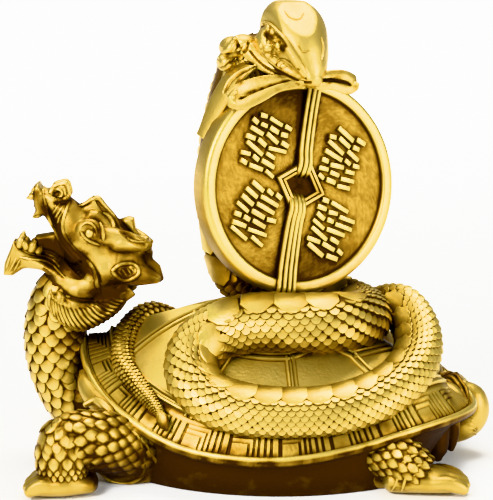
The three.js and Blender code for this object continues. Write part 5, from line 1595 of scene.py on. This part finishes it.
def build_brass(material):
    material.use_nodes = True
    tree = material.node_tree
    add, link = tree.nodes.new, tree.links.new
    bsdf = tree.nodes["Principled BSDF"]
    bsdf.inputs["Metallic"].default_value = 1.0
    coords = add("ShaderNodeTexCoord")

    def attribute(name):
        node = add("ShaderNodeAttribute")
        node.attribute_name = name
        return node.outputs["Fac"]

    def noise(scale, detail):
        node = add("ShaderNodeTexNoise")
        node.inputs["Scale"].default_value, node.inputs["Detail"].default_value = scale, detail
        link(coords.outputs["Object"], node.inputs["Vector"])
        return node.outputs["Fac"]

    def math_node(kind, a, b):
        node = add("ShaderNodeMath")
        node.operation = kind
        for socket, value in zip(node.inputs, (a, b)):
            if isinstance(value, (int, float)):
                socket.default_value = value
            else:
                link(value, socket)
        return node.outputs[0]

    cloud, speck = noise(260, 5), noise(1100, 3)
    uneven = math_node("MULTIPLY", math_node("SUBTRACT", cloud, 0.5), 0.2)
    # The polish value holds patina together with painted shade and highlights; the cloud only varies the
    # tone at random.
    worn_and_shaded = math_node("ADD", attribute("polish_and_shade"), uneven)
    # Hidden places lose more: painted shade from the recess value.
    shade = math_node("SUBTRACT", worn_and_shaded, math_node("MULTIPLY", attribute("recess_shade"), 0.75))
    ramp = add("ShaderNodeValToRGB")
    for place, _ in SHADE_AND_PATINA_STOPS[1:-1]:
        ramp.color_ramp.elements.new(place)
    for element, (place, colour) in zip(ramp.color_ramp.elements, SHADE_AND_PATINA_STOPS):
        element.position, element.color = place, (*colour, 1)
    link(shade, ramp.inputs["Fac"])
    link(ramp.outputs["Color"], bsdf.inputs["Base Color"])
    rough = add("ShaderNodeMapRange")
    rough.inputs["From Min"].default_value, rough.inputs["From Max"].default_value = 0.0, 1.0
    rough.inputs["To Min"].default_value, rough.inputs["To Max"].default_value = DULL, POLISHED
    link(shade, rough.inputs["Value"])
    link(rough.outputs["Result"], bsdf.inputs["Roughness"])
    sand = math_node("MULTIPLY", noise(1500, 2), math_node("MULTIPLY", attribute("grain"), 2.5))
    bump = add("ShaderNodeBump")
    bump.inputs["Strength"].default_value, bump.inputs["Distance"].default_value = 0.3, 0.0003
    link(math_node("ADD", speck, sand), bump.inputs["Height"])
    link(bump.outputs["Normal"], bsdf.inputs["Normal"])


build_brass(BRASS)
print("brass nodes", len(BRASS.node_tree.nodes))

# %% [markdown]
# ## How hidden a place is
# Rays from the solid tell how much of its sky a place has lost. A sample of points is
# enough, since shade changes slowly; the rest read it from their neighbours.
# %% Recess
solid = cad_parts[NODE]
solid_points, solid_triangles, _ = from_mesh(solid.data)
tree = BVHTree.FromPolygons(solid_points.tolist(), solid_triangles.tolist())


def recess_of(points, normals, samples=3600, rays=24, reach=0.022, seed=4):
    """How hidden a surface is, from rays against the solid; spread to all points from a sample."""
    rng = np.random.default_rng(seed)
    chosen = rng.choice(len(points), min(samples, len(points)), replace=False)
    spread = unit(rng.normal(size=(rays, 3)))
    hidden = np.zeros(len(chosen))
    for n, index in enumerate(chosen):
        place, outward, _, _ = tree.find_nearest(points[index].tolist())
        facing = unit(np.array(outward) + 0.6 * normals[index])
        start = place + outward * 0.0006
        for direction in unit(spread + facing * 1.15).tolist():
            if tree.ray_cast(start, direction, reach)[0] is not None:
                hidden[n] += 1
    hidden /= rays
    near = KDTree(len(chosen))
    for n, index in enumerate(chosen):
        near.insert(points[index], n)
    near.balance()
    value = np.empty(len(points))
    for i, p in enumerate(points):
        found = near.find_n(p, 5)
        weight = np.array([1 / (f[2] + 0.0012) for f in found])
        value[i] = float(np.dot(weight, hidden[[f[1] for f in found]]) / weight.sum())
    return value


print("the rays meet a solid of", len(solid_triangles), "triangles")

# %% [markdown]
# ## Finished pieces
# Each piece is scaled to metres, kept inside the frame's box and given its recess.
# %% Finished pieces
SHARP_ANGLE = 38


def finish_piece(name, forms, grainy=None):
    """A finished object at the origin, in metres, with its attributes and its brass."""
    points, triangles, polish_and_shade = join(forms)
    inside = np.clip(points, np.array(cad_box[0]) / MM, np.array(cad_box[1]) / MM)
    print(name, "kept inside the frame's box by up to", round(float(np.abs(points - inside).max()), 2),
          "mm")
    obj = to_object(name, (inside, triangles, polish_and_shade), MM)
    mesh = obj.data
    points, triangles, _ = from_mesh(mesh)
    normals = np.empty(len(points) * 3)
    mesh.vertices.foreach_get("normal", normals)
    recess_shade = recess_of(points, normals.reshape(-1, 3))
    mesh.attributes.new("recess_shade", "FLOAT", "POINT").data.foreach_set("value", recess_shade.astype(np.float32))
    grain = np.zeros(len(points)) if grainy is None else grainy(inside).astype(float)
    mesh.attributes.new("grain", "FLOAT", "POINT").data.foreach_set("value", grain.astype(np.float32))
    mesh.polygons.foreach_set("use_smooth", np.ones(len(mesh.polygons), bool))
    mesh.set_sharp_from_angle(angle=math.radians(SHARP_ANGLE))
    mesh.materials.append(BRASS)
    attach(obj, "root")
    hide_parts(NODE)
    print(name, len(mesh.polygons), "triangles, recess", round(float(recess_shade.mean()), 2))


def coin_field(points):
    """Which points lie on the coin's grainy field."""
    local = (points - COIN_CENTRE) @ COIN_AXES.T
    inside = np.hypot(local[:, 0], local[:, 1]) < COIN_RADIUS - COIN_RIM - 0.6
    return inside & (np.abs(local[:, 2] + FIELD_DEPTH) < 0.25)


finish_piece("shell", [shell_skin] + ridges)
# Contact rays paint shade under the snake's scale tips and where its parts meet.
finish_piece("snake", [contact_shade([snake_tube, flank_scales, back_plates, barb], reach=1.2, rays=8,
                               gain=0.35)])
finish_piece("snake_head_and_bow", [snake_head, bow])
# Contact rays paint shade round the coin's strokes and ribbon.
finish_piece("coin_and_ribbon", [contact_shade(coin, reach=1.6, rays=12, gain=0.8)], grainy=coin_field)
finish_piece("legs_and_tail", legs_both + [turtle_tail])
finish_piece("dragon_neck_and_head", [neck, dragon_head])

# %% [markdown]
# ## Floor, light and camera
# The photo is a studio shot on white. Metal shows what it reflects, so the lamps are
# big soft panels that draw broad highlights, and the dark gaps between them give the
# brass its depth. The camera looks along +Y from 12 degrees above.
# %% Stage
FLOOR_HALF, FLOOR_DROP, LIT_FROM, LIT_TO = 6, 0.0003, 0.1, 1.0
VIEW_ELEVATION, VIEW_DISTANCE, PIXELS_PER_MM, FRAME_HEIGHT = math.radians(12), 0.6, 3.03, 500
TARGET = (0.0, 0.0, 0.0695)
floor_mesh = bpy.data.meshes.new("floor")
corners = [(x * FLOOR_HALF, y * FLOOR_HALF, 0) for x, y in ((-1, -1), (1, -1), (1, 1), (-1, 1))]
floor_mesh.from_pydata(corners, [], [(0, 1, 2, 3)])
floor = bpy.data.objects.new("floor", floor_mesh)
bpy.context.scene.collection.objects.link(floor)
floor.location.z = -FLOOR_DROP
pale = bpy.data.materials.new("pale_floor")
pale.use_nodes = True
pale_bsdf = pale.node_tree.nodes["Principled BSDF"]
pale_bsdf.inputs["Base Color"].default_value = (0.86, 0.86, 0.85, 1)
pale_bsdf.inputs["Roughness"].default_value = 0.7
pale_bsdf.inputs["Emission Color"].default_value = (1, 1, 1, 1)
place = pale.node_tree.nodes.new("ShaderNodeTexCoord")
parts = pale.node_tree.nodes.new("ShaderNodeSeparateXYZ")
lit = pale.node_tree.nodes.new("ShaderNodeMapRange")
lit.interpolation_type = "SMOOTHSTEP"
lit.inputs["From Min"].default_value, lit.inputs["From Max"].default_value = LIT_FROM, LIT_TO
lit.inputs["To Min"].default_value, lit.inputs["To Max"].default_value = 0.0, 3.5
pale.node_tree.links.new(place.outputs["Object"], parts.inputs["Vector"])
pale.node_tree.links.new(parts.outputs["Y"], lit.inputs["Value"])
pale.node_tree.links.new(lit.outputs["Result"], pale_bsdf.inputs["Emission Strength"])
floor_mesh.materials.append(pale)

world = bpy.data.worlds.new("studio")
bpy.context.scene.world = world
world.use_nodes = True
world.node_tree.nodes["Background"].inputs["Color"].default_value = (1, 1, 1, 1)
world.node_tree.nodes["Background"].inputs["Strength"].default_value = 0.42
bpy.context.scene.view_settings.view_transform = "Khronos PBR Neutral"


def panel(name, place, size, power):
    """A soft lamp that faces the figure."""
    light = bpy.data.lights.new(name, "AREA")
    light.shape, light.size, light.size_y, light.energy = "RECTANGLE", size[0], size[1], power
    obj = bpy.data.objects.new(name, light)
    obj.location = place
    obj.rotation_euler = (Vector(TARGET) - Vector(place)).to_track_quat("-Z", "Y").to_euler()
    bpy.context.scene.collection.objects.link(obj)


panel("key", (-0.45, -0.65, 0.6), (0.40, 0.36), 15)
panel("fill", (0.7, -0.5, 0.3), (0.30, 0.45), 6)
panel("top", (0.05, 0.2, 0.8), (0.5, 0.36), 9)

camera_data = bpy.data.cameras.new("camera")
camera = bpy.data.objects.new("camera", camera_data)
bpy.context.scene.collection.objects.link(camera)
away = Vector((0, -math.cos(VIEW_ELEVATION), math.sin(VIEW_ELEVATION)))
camera.location = Vector(TARGET) + away * VIEW_DISTANCE
camera.rotation_euler = (math.radians(90) - VIEW_ELEVATION, 0, 0)
camera_data.sensor_fit, camera_data.sensor_height = "VERTICAL", 24
half_height = FRAME_HEIGHT / 2 / PIXELS_PER_MM / 1000
camera_data.lens = camera_data.sensor_height / 2 / (half_height / VIEW_DISTANCE)
bpy.context.scene.camera = camera

print("camera lens", round(camera_data.lens, 2), "mm at", VIEW_DISTANCE, "m")
